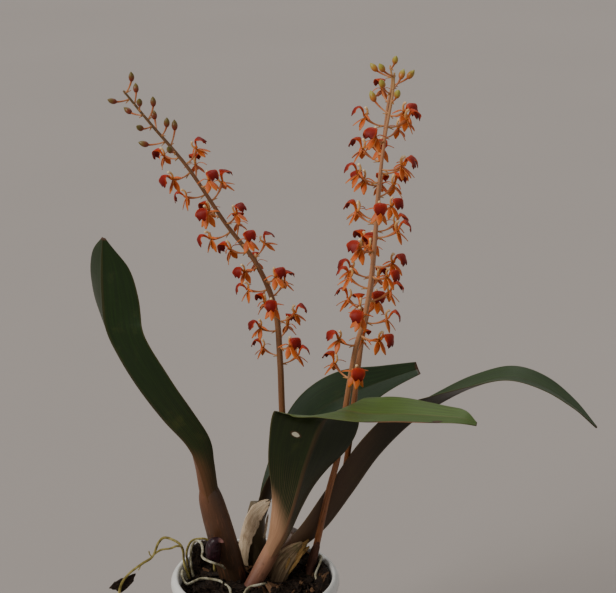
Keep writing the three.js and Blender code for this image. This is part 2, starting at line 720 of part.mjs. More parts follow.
function spikeStem(plan, grow = 0) {
  const steps = Math.round((plan.stem.length - 1) * STEM_STEPS_BETWEEN);
  return rod(plan.stem, plan.radii.map((r) => r + grow), STEM_SIDES, steps, grow);
}

function spike(plan) {
  const stem = through(plan.stem.map((p) => vec(...p)));
  const random = generator(plan.seed);
  const parts = [spikeStem(plan)];
  const { count, from, to } = plan.flowers;
  const total = count + plan.buds.count;
  for (let k = 0; k < total; k++) {
    const open = k < count;
    const share = open
      ? from + ((to - from) * k) / (count - 1)
      : to + ((plan.buds.to - to) * (k - count + 1)) / plan.buds.count;
    const angle = plan.phase + k * GOLDEN_TURN
      + between(random, -ANGLE_SPREAD, ANGLE_SPREAD);
    const foot = stem.getPointAt(share);
    const axes = flowerAxes(stem.getTangentAt(share), angle);
    const size = between(random, ...FLOWER_SIZES);
    const youth = (k - count) / plan.buds.count;
    parts.push(open ? flower(foot, axes, size) : bud(foot, axes, youth));
  }
  return toGeometry(united(parts));
}

// Roots that come out of the bark: each is a thin rod through hand-set points
const ROOTS = [
  {
    name: 'root_arch', radius: 0.9,
    points: [[-47.5, 17.5, 94], [-49.4, 18, 104], [-50, 19.5, 112], [-47.3, 22.5, 118.4],
      [-42.6, 23, 120.7], [-35.4, 23, 120.3], [-31.4, 22, 115], [-30.2, 20, 95]],
  },
  {
    name: 'root_white', radius: 0.95,
    points: [[-45, 13, 94], [-47, 15.5, 108], [-46, 17, 117.5], [-42.9, 16.5, 122.4],
      [-39, 13, 122.3], [-37.4, 4, 121.3], [-37, -7, 121.5], [-32, -14.6, 122.2],
      [-26.5, -14.8, 120], [-23.6, -8.4, 115.5], [-21.8, -1.9, 110.2]],
  },
  {
    name: 'root_left', radius: 1,
    points: [[-49.5, 9.5, 94], [-51.6, 7.8, 102], [-52.3, 4, 104.6], [-52, 0, 101.6],
      [-48.6, -4.6, 99.2], [-43.5, -0.4, 99], [-38, 4, 99], [-27, 0.5, 99], [-22.5, -5, 99],
      [-18, -12, 98.5], [-16.5, -18, 94]],
  },
  {
    name: 'root_front', radius: 0.9,
    points: [[-9.5, -22, 94], [-6.8, -17, 99.5], [-3.5, -13.5, 101.5], [2, -13, 102.6],
      [8, -9.5, 101.4], [12, -8.5, 94]],
  },
  {
    name: 'root_right', radius: 0.9,
    points: [[44, 24, 98], [46.5, 20, 108.5], [46.5, 12, 108.5], [43, 3, 103.5], [43.5, -6, 103.5],
      [45, -14, 98]],
  },
];

const HANGING_ROOT = [
  {
    radius: 1,
    points: [[-47.5, 11, 94], [-51.4, 13, 106], [-52.2, 13, 117], [-56, 15, 122], [-65, 18, 124.3],
      [-70, 19, 119.8], [-74.8, 20, 108.2], [-82.5, 20, 102.4], [-92.2, 20, 94.4],
      [-98.2, 20, 85.5], [-100.6, 20, 74]],
  },
  {
    radius: 0.8,
    points: [[-52.6, 13.8, 119.2], [-57, 15, 119], [-61.5, 16.5, 116.4], [-68.5, 19, 114],
      [-74, 20, 109.6]],
  },
];

const ROOT_SIDES = 6;
const ROOT_STEPS_BETWEEN = 2;

function rootRod(root, grow = 0) {
  const steps = (root.points.length - 1) * ROOT_STEPS_BETWEEN;
  const radii = root.points.map(() => root.radius + grow);
  return rod(root.points, radii, ROOT_SIDES, steps, grow);
}

// Scrap of bark that the hanging root has grown on to
const FLAKE = {
  outline: [[-107.4, 81.5], [-103.3, 86.5], [-97, 89.5], [-87.3, 93.6], [-89.5, 87], [-94, 81.6],
    [-98.7, 77.8], [-103.3, 79.6]],
  thick: 2,
  front: 21.4,
};

function barkFlake() {
  const shape = new THREE.Shape(FLAKE.outline.map(([x, z]) => new THREE.Vector2(x, z)));
  const geometry = new THREE.ExtrudeGeometry(shape, { depth: FLAKE.thick, bevelEnabled: false });
  geometry.rotateX(Math.PI / 2);
  geometry.translate(0, FLAKE.front + FLAKE.thick, 0);
  return geometry;
}

// Pot and bark

function lathe(profile, sides) {
  const geometry = new THREE.LatheGeometry(profile.map(([r, z]) => new THREE.Vector2(r, z)), sides);
  geometry.rotateX(Math.PI / 2);
  return geometry;
}

// Inner face of the pot at a height, up to where the rim rolls outwards
const POT_NECK = { radius: 55.6, height: 96 };

function innerRadius(z) {
  const slope = (POT_NECK.radius - POT_BASE_RADIUS) / POT_NECK.height;
  return POT_BASE_RADIUS - POT_WALL + slope * z;
}

function pot() {
  const rim = POT_RIM_RADIUS;
  const top = POT_HEIGHT;
  const profile = [
    [0, 0], [POT_BASE_RADIUS - 1.4, 0], [POT_BASE_RADIUS, 1.4],
    [innerRadius(top - 9.6) + POT_WALL, top - 9.6],
    [rim - 1.6, top - 9.4], [rim - 0.3, top - 7.6], [rim, top - 5.4],
    [rim - 0.6, top - 3], [rim - 2, top - 0.9], [rim - 3.7, top],
    [rim - 5, top - 0.6], [innerRadius(top - 2), top - 2],
    [innerRadius(POT_FLOOR), POT_FLOOR], [0, POT_FLOOR],
  ];
  let solid = toSolid(lathe(profile, POT_SIDES));
  for (let i = 0; i < DRAIN_HOLES; i++) {
    const angle = (i / DRAIN_HOLES) * Math.PI * 2;
    const drill = new THREE.CylinderGeometry(DRAIN_RADIUS, DRAIN_RADIUS, POT_FLOOR * 3,
      DRAIN_SIDES);
    drill.rotateX(Math.PI / 2);
    drill.translate(DRAIN_CIRCLE * Math.cos(angle), DRAIN_CIRCLE * Math.sin(angle), 0);
    solid = solid.subtract(toSolid(drill));
  }
  return toGeometry(solid);
}

// From 0 at the front left to 1 at the back and the right
function heaped(x, y) {
  const towards = (y + x / 2) / (Math.hypot(x, y) + 1);
  return THREE.MathUtils.smoothstep(towards, BARK_RIDGE.from, BARK_RIDGE.to);
}

function barkHeight(x, y) {
  const reach = Math.hypot(x, y);
  const centreShare = 1 - Math.min(1, reach / BARK_RADIUS) ** 2;
  const away = (reach - BARK_RIDGE.radius) / BARK_RIDGE.spread;
  const ridge = BARK_RIDGE.height * Math.exp(-away * away) * heaped(x, y);
  const lumps = BARK_LUMP * Math.sin(x * 0.31 + 1.3) * Math.sin(y * 0.37 + 0.4);
  return BARK_LEVEL + BARK_DOME * centreShare + ridge + lumps;
}

function barkBody() {
  const rings = [[vec(0, 0, POT_FLOOR + GAP)]];
  rings.push(circle(innerRadius(POT_FLOOR) - GAP, () => POT_FLOOR + GAP));
  rings.push(circle(innerRadius(BARK_WALL.low) - GAP, wallHeight));
  for (const radius of BARK_RINGS) rings.push(circle(radius, barkHeight));
  rings.push([vec(0, 0, barkHeight(0, 0))]);
  return loft(rings);
}

function wallHeight(x, y) {
  return BARK_WALL.low + BARK_WALL.rise * heaped(x, y);
}

function circle(radius, height) {
  const ring = [];
  for (let k = 0; k < POT_SIDES; k++) {
    const angle = (k / POT_SIDES) * Math.PI * 2;
    const [x, y] = [radius * Math.sin(angle), radius * Math.cos(angle)];
    ring.push(vec(x, y, height(x, y)));
  }
  return ring;
}

// Bark pieces half sunk in the filling, laid out as seeds in a flower head are
function barkChunks() {
  const random = generator(21);
  const chunks = [];
  for (let k = 0; k < BARK_CHUNKS; k++) {
    const reach = CHUNK_SPREAD * Math.sqrt((k + 0.6) / BARK_CHUNKS);
    const angle = k * GOLDEN_TURN;
    const [x, y] = [reach * Math.cos(angle), reach * Math.sin(angle)];
    const size = [between(random, 6, 12), between(random, 5, 9), between(random, 3, 6)];
    const chunk = new THREE.BoxGeometry(...size);
    chunk.rotateX(between(random, -CHUNK_TILT, CHUNK_TILT));
    chunk.rotateY(between(random, -CHUNK_TILT, CHUNK_TILT));
    chunk.rotateZ(between(random, 0, Math.PI));
    chunk.translate(x, y, barkHeight(x, y) + 0.6);
    chunks.push(chunk);
  }
  const clump = new THREE.BoxGeometry(...CLUMP.size);
  clump.rotateZ(CLUMP.turn);
  clump.translate(...CLUMP.at);
  chunks.push(clump);
  return chunks;
}

// Everything that stands in the bark leaves a plain hole in it
function bark() {
  const cutters = GROWTHS.map(({ root, leaf, sizes }) => {
    return pseudobulb([root[0], root[1], root[2] - GAP], leaf, sizes, GAP);
  });
  cutters.push(oldBulb(GAP), backSheath(GAP));
  for (const root of ROOTS) cutters.push(rootRod(root, GAP));
  cutters.push(rootRod(HANGING_ROOT[0], GAP), rootRod(HANGING_ROOT[1], GAP));
  cutters.push(spikeStem(SPIKES[1], GAP));
  const filling = wasm.Manifold.union([barkBody(), ...barkChunks()].map(toSolid));
  const holes = wasm.Manifold.union(cutters.map(toSolid));
  return toGeometry(largestBody(filling.subtract(holes)));
}

place('pot', pot(), 0xe8e8e6, 0.35);
place('bark_mix', bark(), 0x1d1612, 0.95);
GROWTHS.forEach(addGrowth);
place('sheath_back', backSheath(), 0x9e805c, 0.8);
place('old_bulb', toGeometry(united([oldBulb(), ...TORN_TIPS.map(tornTip)])), 0x8a7454, 0.85);
place('new_shoot', newShoot(), 0x3c1c2c, 0.5);
for (const plan of SPIKES) place(plan.name, spike(plan), 0xb4501e, 0.5);
place('root_hanging', toGeometry(united(HANGING_ROOT.map((r) => rootRod(r)))), 0x82794e, 0.8);
for (const root of ROOTS) place(root.name, rootRod(root), 0xb8b096, 0.8);
place('bark_flake', barkFlake(), 0x2a1e16, 0.9);

export default plant;
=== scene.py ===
# A potted Liparis latifolia orchid: a white pot of bark, four pseudobulbs with one
# leaf each, three flower spikes, old growth and roots.
# Metres, +Z up, from the centre of the pot's flat underside. The front is towards -Y.
# Tables of places and sizes are in millimetres, and MM turns them into metres.

import json
import math
import random

import bmesh
import bpy
from mathutils import Matrix, Vector, noise

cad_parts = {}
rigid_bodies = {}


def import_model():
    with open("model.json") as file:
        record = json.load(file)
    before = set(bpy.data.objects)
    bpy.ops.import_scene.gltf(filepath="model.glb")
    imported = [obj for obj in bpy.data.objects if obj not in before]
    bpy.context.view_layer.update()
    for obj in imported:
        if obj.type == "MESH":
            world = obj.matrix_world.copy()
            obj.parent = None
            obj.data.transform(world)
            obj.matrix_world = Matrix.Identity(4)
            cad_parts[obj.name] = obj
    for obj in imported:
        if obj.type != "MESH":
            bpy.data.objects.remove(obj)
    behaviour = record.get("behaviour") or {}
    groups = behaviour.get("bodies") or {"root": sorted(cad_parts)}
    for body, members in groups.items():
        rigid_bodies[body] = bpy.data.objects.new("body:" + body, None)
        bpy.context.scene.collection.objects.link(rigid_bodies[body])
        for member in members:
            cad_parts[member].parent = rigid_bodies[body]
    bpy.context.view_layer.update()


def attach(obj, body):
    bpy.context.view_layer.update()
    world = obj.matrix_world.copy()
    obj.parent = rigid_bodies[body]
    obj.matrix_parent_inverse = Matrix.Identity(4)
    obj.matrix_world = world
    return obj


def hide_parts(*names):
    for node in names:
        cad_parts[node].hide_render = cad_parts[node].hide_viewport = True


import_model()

# Camera
# A long lens in front of the plant, looking down at it by less than 20 degrees.

LOOKS_DOWN = 18.5


def placed(name, data):
    """A new object in the scene."""
    thing = bpy.data.objects.new(name, data)
    bpy.context.scene.collection.objects.link(thing)
    return thing


camera_data = bpy.data.cameras.new("camera")
camera_data.sensor_width = 36
camera_data.lens = 102.6
camera_data.clip_start = 0.01
camera = placed("camera", camera_data)
camera.location = (0.0375, -1.1228, 0.6886)
camera.rotation_euler = (math.radians(90 - LOOKS_DOWN), 0, 0)
bpy.context.scene.camera = camera

# Floor
# A plain pale sheet of matt card, wide enough to fill the view. Like every finish
# here, it is painted by nodes.

FLOOR_REACH = 6.0


def add_node(tree, kind, inputs, output=0, **settings):
    """Add a node with its settings, link or set its inputs, and hand back what
    comes out of it."""
    node = tree.nodes.new(kind)
    for setting, value in settings.items():
        setattr(node, setting, value)
    for socket, value in inputs.items():
        if isinstance(value, bpy.types.NodeSocket):
            tree.links.new(value, node.inputs[socket])
        else:
            node.inputs[socket].default_value = value
    return node.outputs[output]


class Finish:
    """One material. Each method adds a node and hands back what comes out of it."""

    def __init__(self, name, **constants):
        self.material = bpy.data.materials.new(name)
        self.material.use_nodes = True
        self.tree = self.material.node_tree
        self.surface = self.tree.nodes["Principled BSDF"]
        for socket, value in constants.items():
            self.surface.inputs[socket.replace("_", " ")].default_value = value

    def add(self, kind, inputs, output=0, **settings):
        return add_node(self.tree, kind, inputs, output, **settings)

    def place(self, stretch=(1, 1, 1)):
        coordinates = self.add("ShaderNodeTexCoord", {}, "Object")
        return self.add("ShaderNodeMapping", {"Vector": coordinates, "Scale": stretch})

    def attribute(self, name):
        return self.add("ShaderNodeAttribute", {}, "Fac", attribute_name=name)

    def noise(self, scale, detail=4, roughness=0.55, vector=None):
        vector = vector or self.place()
        return self.add("ShaderNodeTexNoise", {
            "Vector": vector, "Scale": scale, "Detail": detail, "Roughness": roughness,
        }, "Fac")

    def cells(self, scale, vector=None, feature="F1"):
        vector = vector or self.place()
        inputs = {"Vector": vector, "Scale": scale}
        return self.add("ShaderNodeTexVoronoi", inputs, "Distance", feature=feature)

    def join(self, x, y, z=0.0):
        return self.add("ShaderNodeCombineXYZ", {"X": x, "Y": y, "Z": z})

    def around(self, stretch):
        """Places round a rod and along it."""
        along = self.times(self.attribute("along"), stretch)
        return self.join(self.attribute("round_x"), self.attribute("round_y"), along)

    def maths(self, operation, first, second=0.0, third=0.0):
        inputs = {0: first, 1: second}
        if operation in ("MULTIPLY_ADD", "COMPARE"):
            inputs[2] = third
        return self.add("ShaderNodeMath", inputs, operation=operation)

    def times(self, first, second):
        return self.maths("MULTIPLY", first, second)

    def scaled(self, value, factor, start):
        return self.maths("MULTIPLY_ADD", value, factor, start)

    def less(self, share):
        """What a share leaves of 1."""
        return self.maths("SUBTRACT", 1.0, share)

    def step(self, value, low, high):
        """0 below low, 1 above high, and smooth between."""
        inputs = {"Value": value, "From Min": low, "From Max": high}
        return self.add("ShaderNodeMapRange", inputs, interpolation_type="SMOOTHSTEP")

    def mix(self, factor, first, second):
        inputs = {"Factor": factor, 6: first, 7: second}
        return self.add("ShaderNodeMix", inputs, 2, data_type="RGBA")

    def tint(self, color, other, share, most):
        """A colour turned to another by a share of the most that it takes."""
        return self.mix(self.times(share, most), color, other)

    def ramp(self, value, stops):
        node = self.tree.nodes.new("ShaderNodeValToRGB")
        elements = node.color_ramp.elements
        while len(elements) < len(stops):
            elements.new(0.5)
        for element, (position, color) in zip(elements, stops):
            element.position = position
            element.color = color
        self.tree.links.new(value, node.inputs["Fac"])
        return node.outputs["Color"]

    def paint(self, color=None, roughness=None, bump=None, depth=0.0002, strength=1.0):
        if color is not None:
            self.tree.links.new(color, self.surface.inputs["Base Color"])
        if roughness is not None:
            self.tree.links.new(roughness, self.surface.inputs["Roughness"])
        if bump is not None:
            inputs = {"Height": bump, "Distance": depth, "Strength": strength}
            normal = self.add("ShaderNodeBump", inputs, "Normal")
            self.tree.links.new(normal, self.surface.inputs["Normal"])
        return self.material


def rgb(red, green, blue):
    """A colour as it looks on screen, from 0 to 255, in the light's own terms."""
    def linear(value):
        share = value / 255
        return share / 12.92 if share <= 0.04045 else ((share + 0.055) / 1.055) ** 2.4
    return (linear(red), linear(green), linear(blue), 1)


def mesh_from(name, vertices, faces):
    mesh = bpy.data.meshes.new(name)
    mesh.from_pydata(vertices, [], faces)
    return mesh


card = Finish("floor card", Roughness=0.9, Specular_IOR_Level=0.1)
card_tone = card.mix(card.noise(1.5, 2), rgb(166, 159, 154), rgb(172, 165, 160))
floor_corners = [(x * FLOOR_REACH, y * FLOOR_REACH, 0) for x, y in ((-1, -1), (1, -1), (1, 1), (-1, 1))]
floor_mesh = mesh_from("floor", floor_corners, [(0, 1, 2, 3)])
floor_mesh.materials.append(card.paint(card_tone))
placed("floor", floor_mesh)

# Light
# Broad soft light from the left and from above and behind, and a weak fill from
# the right. It comes from far off, so the floor is lit evenly.


def soft_light(name, source, spread, strength, color):
    data = bpy.data.lights.new(name, "SUN")
    data.angle = math.radians(spread)
    data.energy = strength
    data.color = color
    way = (-Vector(source)).to_track_quat("-Z", "Y")
    placed(name, data).rotation_euler = way.to_euler()


soft_light("window", (-1.27, -0.75, 0.89), 30, 2.1, (1, 0.96, 0.91))
soft_light("fill", (1.28, -0.9, 0.54), 40, 0.15, (0.97, 0.98, 1))
soft_light("sky", (0.13, 0.7, 1.34), 40, 0.9, (1, 0.98, 0.95))
world = bpy.data.worlds.new("room")
world.use_nodes = True
air = world.node_tree.nodes["Background"].inputs
air["Color"].default_value = (0.86, 0.84, 0.82, 1)
air["Strength"].default_value = 0.35
bpy.context.scene.world = world

# Pot
# A moulded white plastic pot with a rolled rim, a stepped foot and five drain
# holes. It is turned from one profile, and the holes are cut through its floor.

MM = 0.001
POT_HEIGHT = 105
POT_BASE_RADIUS = 43
POT_RIM_RADIUS = 60
POT_WALL = 1.8
POT_FLOOR = 3
POT_NECK_RADIUS = 55.6
POT_NECK_HEIGHT = 96
POT_SIDES = 144
DRAIN_HOLES = 5
DRAIN_RADIUS = 4.5
DRAIN_CIRCLE = 27
DRAIN_SIDES = 32
FOOT_HEIGHT = 8.2
RIM_DEPTH = 10.6
RIM_STEPS = 44
WALL_STEPS = 24


def inner_radius(z):
    """The pot's inner face at a height."""
    slope = (POT_NECK_RADIUS - POT_BASE_RADIUS) / POT_NECK_HEIGHT
    return POT_BASE_RADIUS - POT_WALL + slope * z


def through(points):
    """A smooth curve through given points, one unit of t from end to end."""
    knots = [Vector(point) for point in points]
    knots = [2 * knots[0] - knots[1]] + knots + [2 * knots[-1] - knots[-2]]
    spans = len(points) - 1

    def at(t):
        place = min(max(t, 0), 1) * spans
        i = min(int(place), spans - 1)
        s = place - i
        a, b, c, d = knots[i:i + 4]
        return (2 * b + (c - a) * s + (2 * a - 5 * b + 4 * c - d) * s * s
                + (3 * b - 3 * c + d - a) * s ** 3) / 2
    return at


def as_piece(name, mesh, material, slot, *nodes, smooth=True):
    """A finished piece of the plant, which stands for the CAD nodes named."""
    if material:
        mesh.materials.append(material)
    for polygon in mesh.polygons:
        polygon.use_smooth = smooth
    piece = placed(name, mesh)
    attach(piece, "root")
    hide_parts(*nodes)


def circle(radius, sides, height):
    """A ring round the pot's axis, whose height is given for x and y."""
    ring = []
    for k in range(sides):
        angle = 2 * math.pi * k / sides
        x, y = radius * math.sin(angle), radius * math.cos(angle)
        ring.append(Vector((x, y, height(x, y))))
    return ring


def bands(rows, count):
    """The faces between rings of places that follow each other."""
    faces = []
    for r in range(rows - 1):
        for k in range(count):
            low, after = r * count, (k + 1) % count
            faces.append((low + k, low + after, low + count + after, low + count + k))
    return faces


def lofted(rings, values=None, dome=0.0, ladder=False):
    """A closed skin through rings of places: its places, its faces and its values,
    which are numbers by name, one for each place, for the materials to read. Its
    ends are low domes, or for a blade, whose rings run out and back, a ladder
    between its two faces."""
    count = len(rings[0])
    places = [place for ring in rings for place in ring]
    faces = bands(len(rings), count)
    for last in (False, True):
        start = (len(rings) - 1) * count if last else 0
        if ladder:
            end = start + count - 1
            faces += [(start + k, start + k + 1, end - 1 - k, end - k) for k in range(count // 2 - 1)]
            continue
        ring, inner = (rings[-1], rings[-2]) if last else (rings[0], rings[1])
        middle = sum(ring, Vector((0, 0, 0))) / count
        away = (middle - sum(inner, Vector((0, 0, 0))) / count).normalized()
        for k in range(count):
            faces.append((start + k, start + (k + 1) % count, len(places)))
        places.append(middle + away * dome)
    numbers = {}
    for label, rows in (values or {}).items():
        numbers[label] = [number for row in rows for number in row]
        if not ladder:
            numbers[label] += [rows[0][0], rows[-1][0]]
    return places, faces, numbers


def made(name, skins, labels=()):
    """One mesh of several closed skins, in metres, with their values as attributes."""
    vertices, faces = [], []
    columns = {label: [] for label in labels}
    for places, skin_faces, numbers in skins:
        start = len(vertices)
        vertices += [place * MM for place in places]
        faces += [[start + corner for corner in face] for face in skin_faces]
        for label in labels:
            columns[label] += numbers.get(label, [0.0] * len(places))
    mesh = mesh_from(name, vertices, faces)
    shape = bmesh.new()
    shape.from_mesh(mesh)
    bmesh.ops.recalc_face_normals(shape, faces=shape.faces)
    shape.to_mesh(mesh)
    shape.free()
    for label in labels:
        layer = mesh.attributes.new(label, "FLOAT", "POINT")
        layer.data.foreach_set("value", columns[label])
    return mesh


def evaluated(thing):
    """The mesh that an object's modifiers make."""
    view = bpy.context.evaluated_depsgraph_get()
    return bpy.data.meshes.new_from_object(thing.evaluated_get(view))


def cut_drains(mesh):
    """Cut the ring of drain holes through the pot's floor."""
    body = placed("uncut pot", mesh)
    shape = bmesh.new()
    for i in range(DRAIN_HOLES):
        angle = 2 * math.pi * i / DRAIN_HOLES
        place = Vector((math.cos(angle), math.sin(angle), 0)) * DRAIN_CIRCLE * MM
        bmesh.ops.create_cone(
            shape, cap_ends=True, segments=DRAIN_SIDES, radius1=DRAIN_RADIUS * MM,
            radius2=DRAIN_RADIUS * MM, depth=POT_FLOOR * 4 * MM,
            matrix=Matrix.Translation(place))
    drills = placed("drills", bpy.data.meshes.new("drills"))
    shape.to_mesh(drills.data)
    shape.free()
    cut = body.modifiers.new("drains", "BOOLEAN")
    cut.object = drills
    cut.operation = "DIFFERENCE"
    cut.solver = "EXACT"
    result = evaluated(body)
    bpy.data.objects.remove(drills)
    bpy.data.objects.remove(body)
    return result


top = POT_HEIGHT
rim = POT_RIM_RADIUS
foot = POT_BASE_RADIUS
neck = inner_radius(top - 9.6) + POT_WALL
rim_curve = through([
    (neck, top - 9.9), (rim - 2.4, top - 9.5), (rim - 0.9, top - 8.6), (rim - 0.15, top - 7),
    (rim, top - 5.2), (rim - 0.4, top - 3.2), (rim - 1.5, top - 1.3), (rim - 2.7, top - 0.3),
    (rim - 3.9, top), (rim - 4.8, top - 0.6), (inner_radius(top - 2) + 0.1, top - 1.8),
    (inner_radius(top - 4), top - 4),
])
pot_profile = [
    (foot - 9, 0.8), (foot - 8.2, 0.6), (foot - 7.6, 0.1), (foot - 7, 0), (foot - 1.6, 0),
    (foot - 0.6, 0.35), (foot - 0.1, 1.2), (foot + 0.15, 2.4), (foot + 0.1, 7.6),
    (foot + 0.5, FOOT_HEIGHT),
]
for i in range(1, WALL_STEPS):
    z = FOOT_HEIGHT + (top - RIM_DEPTH - FOOT_HEIGHT) * i / WALL_STEPS
    pot_profile.append((inner_radius(z) + POT_WALL, z))
pot_profile += [tuple(rim_curve(i / RIM_STEPS)) for i in range(RIM_STEPS + 1)]
for i in range(1, WALL_STEPS):
    z = (top - 4) + (POT_FLOOR + 2 - (top - 4)) * i / WALL_STEPS
    pot_profile.append((inner_radius(z), z))
pot_profile += [(inner_radius(POT_FLOOR) - 0.6, POT_FLOOR + 0.4), (inner_radius(POT_FLOOR) - 2, POT_FLOOR)]
pot_rings = [circle(radius, POT_SIDES, lambda x, y: z) for radius, z in pot_profile]
white = Finish("pot white", Roughness=0.32, Specular_IOR_Level=0.5)
white_height = white.add("ShaderNodeSeparateXYZ", {"Vector": white.place()}, "Z")
white_smudge = white.noise(38, 5, 0.6)
white_tone = white.mix(white.step(white_smudge, 0.35, 0.75), rgb(226, 226, 223), rgb(214, 213, 207))
white_splash = white.times(white.step(white.noise(420, 3), 0.66, 0.76),
                           white.step(white_height, 0.092, 0.104))
white_tone = white.tint(white_tone, rgb(120, 104, 84), white_splash, 0.35)
white_skin = white.paint(white_tone, white.scaled(white_smudge, 0.22, 0.22), white.noise(1400, 2), 0.00004)
as_piece("pot_shell", cut_drains(made("pot_shell", [lofted(pot_rings)])), white_skin,
         "pot_plastic", "pot")

# Bark mix
# Damp chips of fir bark, near black, fill the pot to the brim at the back and
# the right. A closed bed fills the pot, and loose chips lie on it.

GAP = 0.35
BARK_LEVEL = 96
BARK_RADIUS = 52
BARK_DOME = 3
BARK_LUMP = 1.1
BARK_WALL_LOW = 95
BARK_WALL_RISE = 7
RIDGE_RADIUS = 49
RIDGE_SPREAD = 7
RIDGE_HEIGHT = 10
BED_SINK = 1.6
BED_SIDES = 96
BED_RADII = (51.5, 49, 46.5, 44, 41, 38, 35, 32, 29, 26, 23, 20, 17, 14, 11, 8, 5, 2.5, 0.8)


def smoothstep(value, low, high):
    share = min(max((value - low) / (high - low), 0), 1)
    return share * share * (3 - 2 * share)


def heaped(x, y):
    """From 0 at the front left to 1 at the back and the right."""
    return smoothstep((y + x / 2) / (math.hypot(x, y) + 1), -0.3, 0.3)


def bark_height(x, y):
    reach = math.hypot(x, y)
    dome = BARK_DOME * (1 - min(1, reach / BARK_RADIUS) ** 2)
    away = (reach - RIDGE_RADIUS) / RIDGE_SPREAD
    ridge = RIDGE_HEIGHT * math.exp(-away * away) * heaped(x, y)
    lumps = BARK_LUMP * math.sin(x * 0.31 + 1.3) * math.sin(y * 0.37 + 0.4)
    return BARK_LEVEL + dome + ridge + lumps


def crumbled(x, y):
    """The bed's top, lower than the chips and broken into crumbs."""
    crumb = noise.noise(Vector((x, y, 0)) * 0.45) * 1.3
    crumb += noise.noise(Vector((x, y, 9)) * 1.1) * 0.7
    return bark_height(x, y) - BED_SINK + crumb


def wall_height(x, y):
    return BARK_WALL_LOW + BARK_WALL_RISE * heaped(x, y) - 0.5


def bark_finish():
    bark = Finish("damp bark", Specular_IOR_Level=0.18)
    fibre = bark.noise(1.0, 5, 0.6, bark.place((420, 420, 1500)))
    color = bark.ramp(fibre, [(0.3, rgb(16, 11, 8)), (0.52, rgb(36, 26, 19)), (0.76, rgb(74, 56, 41))])
    color = bark.tint(color, rgb(124, 92, 66), bark.step(bark.attribute("tone"), 0.9, 0.93), 0.75)
    color = bark.tint(color, rgb(44, 50, 24), bark.step(bark.noise(160, 3), 0.6, 0.75), 0.4)
    return bark.paint(color, bark.scaled(fibre, 0.4, 0.55), fibre, 0.0006, 0.9)


def level(height):
    return lambda x, y: height


bark_material = bark_finish()
bed_rings = [circle(2, BED_SIDES, level(POT_FLOOR + GAP)),
             circle(inner_radius(POT_FLOOR) - GAP - 2, BED_SIDES, level(POT_FLOOR + GAP)),
             circle(inner_radius(POT_FLOOR + 2) - GAP, BED_SIDES, level(POT_FLOOR + GAP + 2)),
             circle(inner_radius(BARK_WALL_LOW) - GAP, BED_SIDES, wall_height)]
bed_rings += [circle(radius, BED_SIDES, crumbled) for radius in BED_RADII]
as_piece("bark_bed", made("bark_bed", [lofted(bed_rings)]), bark_material, "bark", "bark_mix")

LUMP_SIZE = Vector((13, 8, 22))
LUMP_PLACE = Vector((-39.9, 26.7, 105))
LUMP_TURN = 0.98
LUMP_CUTS = 7
NOISE_SHIFT = Vector((19.1, 7.3, 3.7))


def block(cuts):
    """The skin of a cube of side 1, cut into squares: its places and its faces."""
    count = cuts + 1
    places, faces, numbers = [], [], {}
    for axis in range(3):
        for level in (0, count):
            for i in range(count):
                for j in range(count):
                    square = []
                    for spot in ([i, j], [i + 1, j], [i + 1, j + 1], [i, j + 1]):
                        spot.insert(axis, level)
                        if tuple(spot) not in numbers:
                            numbers[tuple(spot)] = len(places)
                            places.append(Vector(spot) / count - Vector((0.5, 0.5, 0.5)))
                        square.append(numbers[tuple(spot)])
                    faces.append(square)
    return places, faces


def jagged(place):
    """Noise in each of the three directions, the same in each run."""
    return Vector([noise.noise(place + NOISE_SHIFT * axis) for axis in range(3)])


def lump_skin():
    """The large upright piece of bark at the back left, split and eaten away."""
    turn = Matrix.Rotation(LUMP_TURN, 3, "Z")
    places, faces = block(LUMP_CUTS)
    moved = []
    for unit in places:
        place = unit * LUMP_SIZE
        worn = 1 - 0.3 * max(0, unit.z) * (1 + noise.noise(place * 0.3))
        worn -= round(noise.noise(place * 0.22) * 3) * 0.06
        jag = jagged(place * 0.45) * 1.1 - Vector((0, 0, 0.8))
        moved.append(turn @ (Vector((place.x * worn, place.y * worn, place.z)) + jag) + LUMP_PLACE)
    return moved, faces, {}


as_piece("bark_lump", made("bark_lump", [lump_skin()]), bark_material, "bark", "bark_mix",
         smooth=False)

# Pseudobulbs
# Each growth's swollen, slightly flattened stem, smooth and finely furrowed. It is
# ringed where old sheaths came off, and its domed top closes the foot of its leaf.

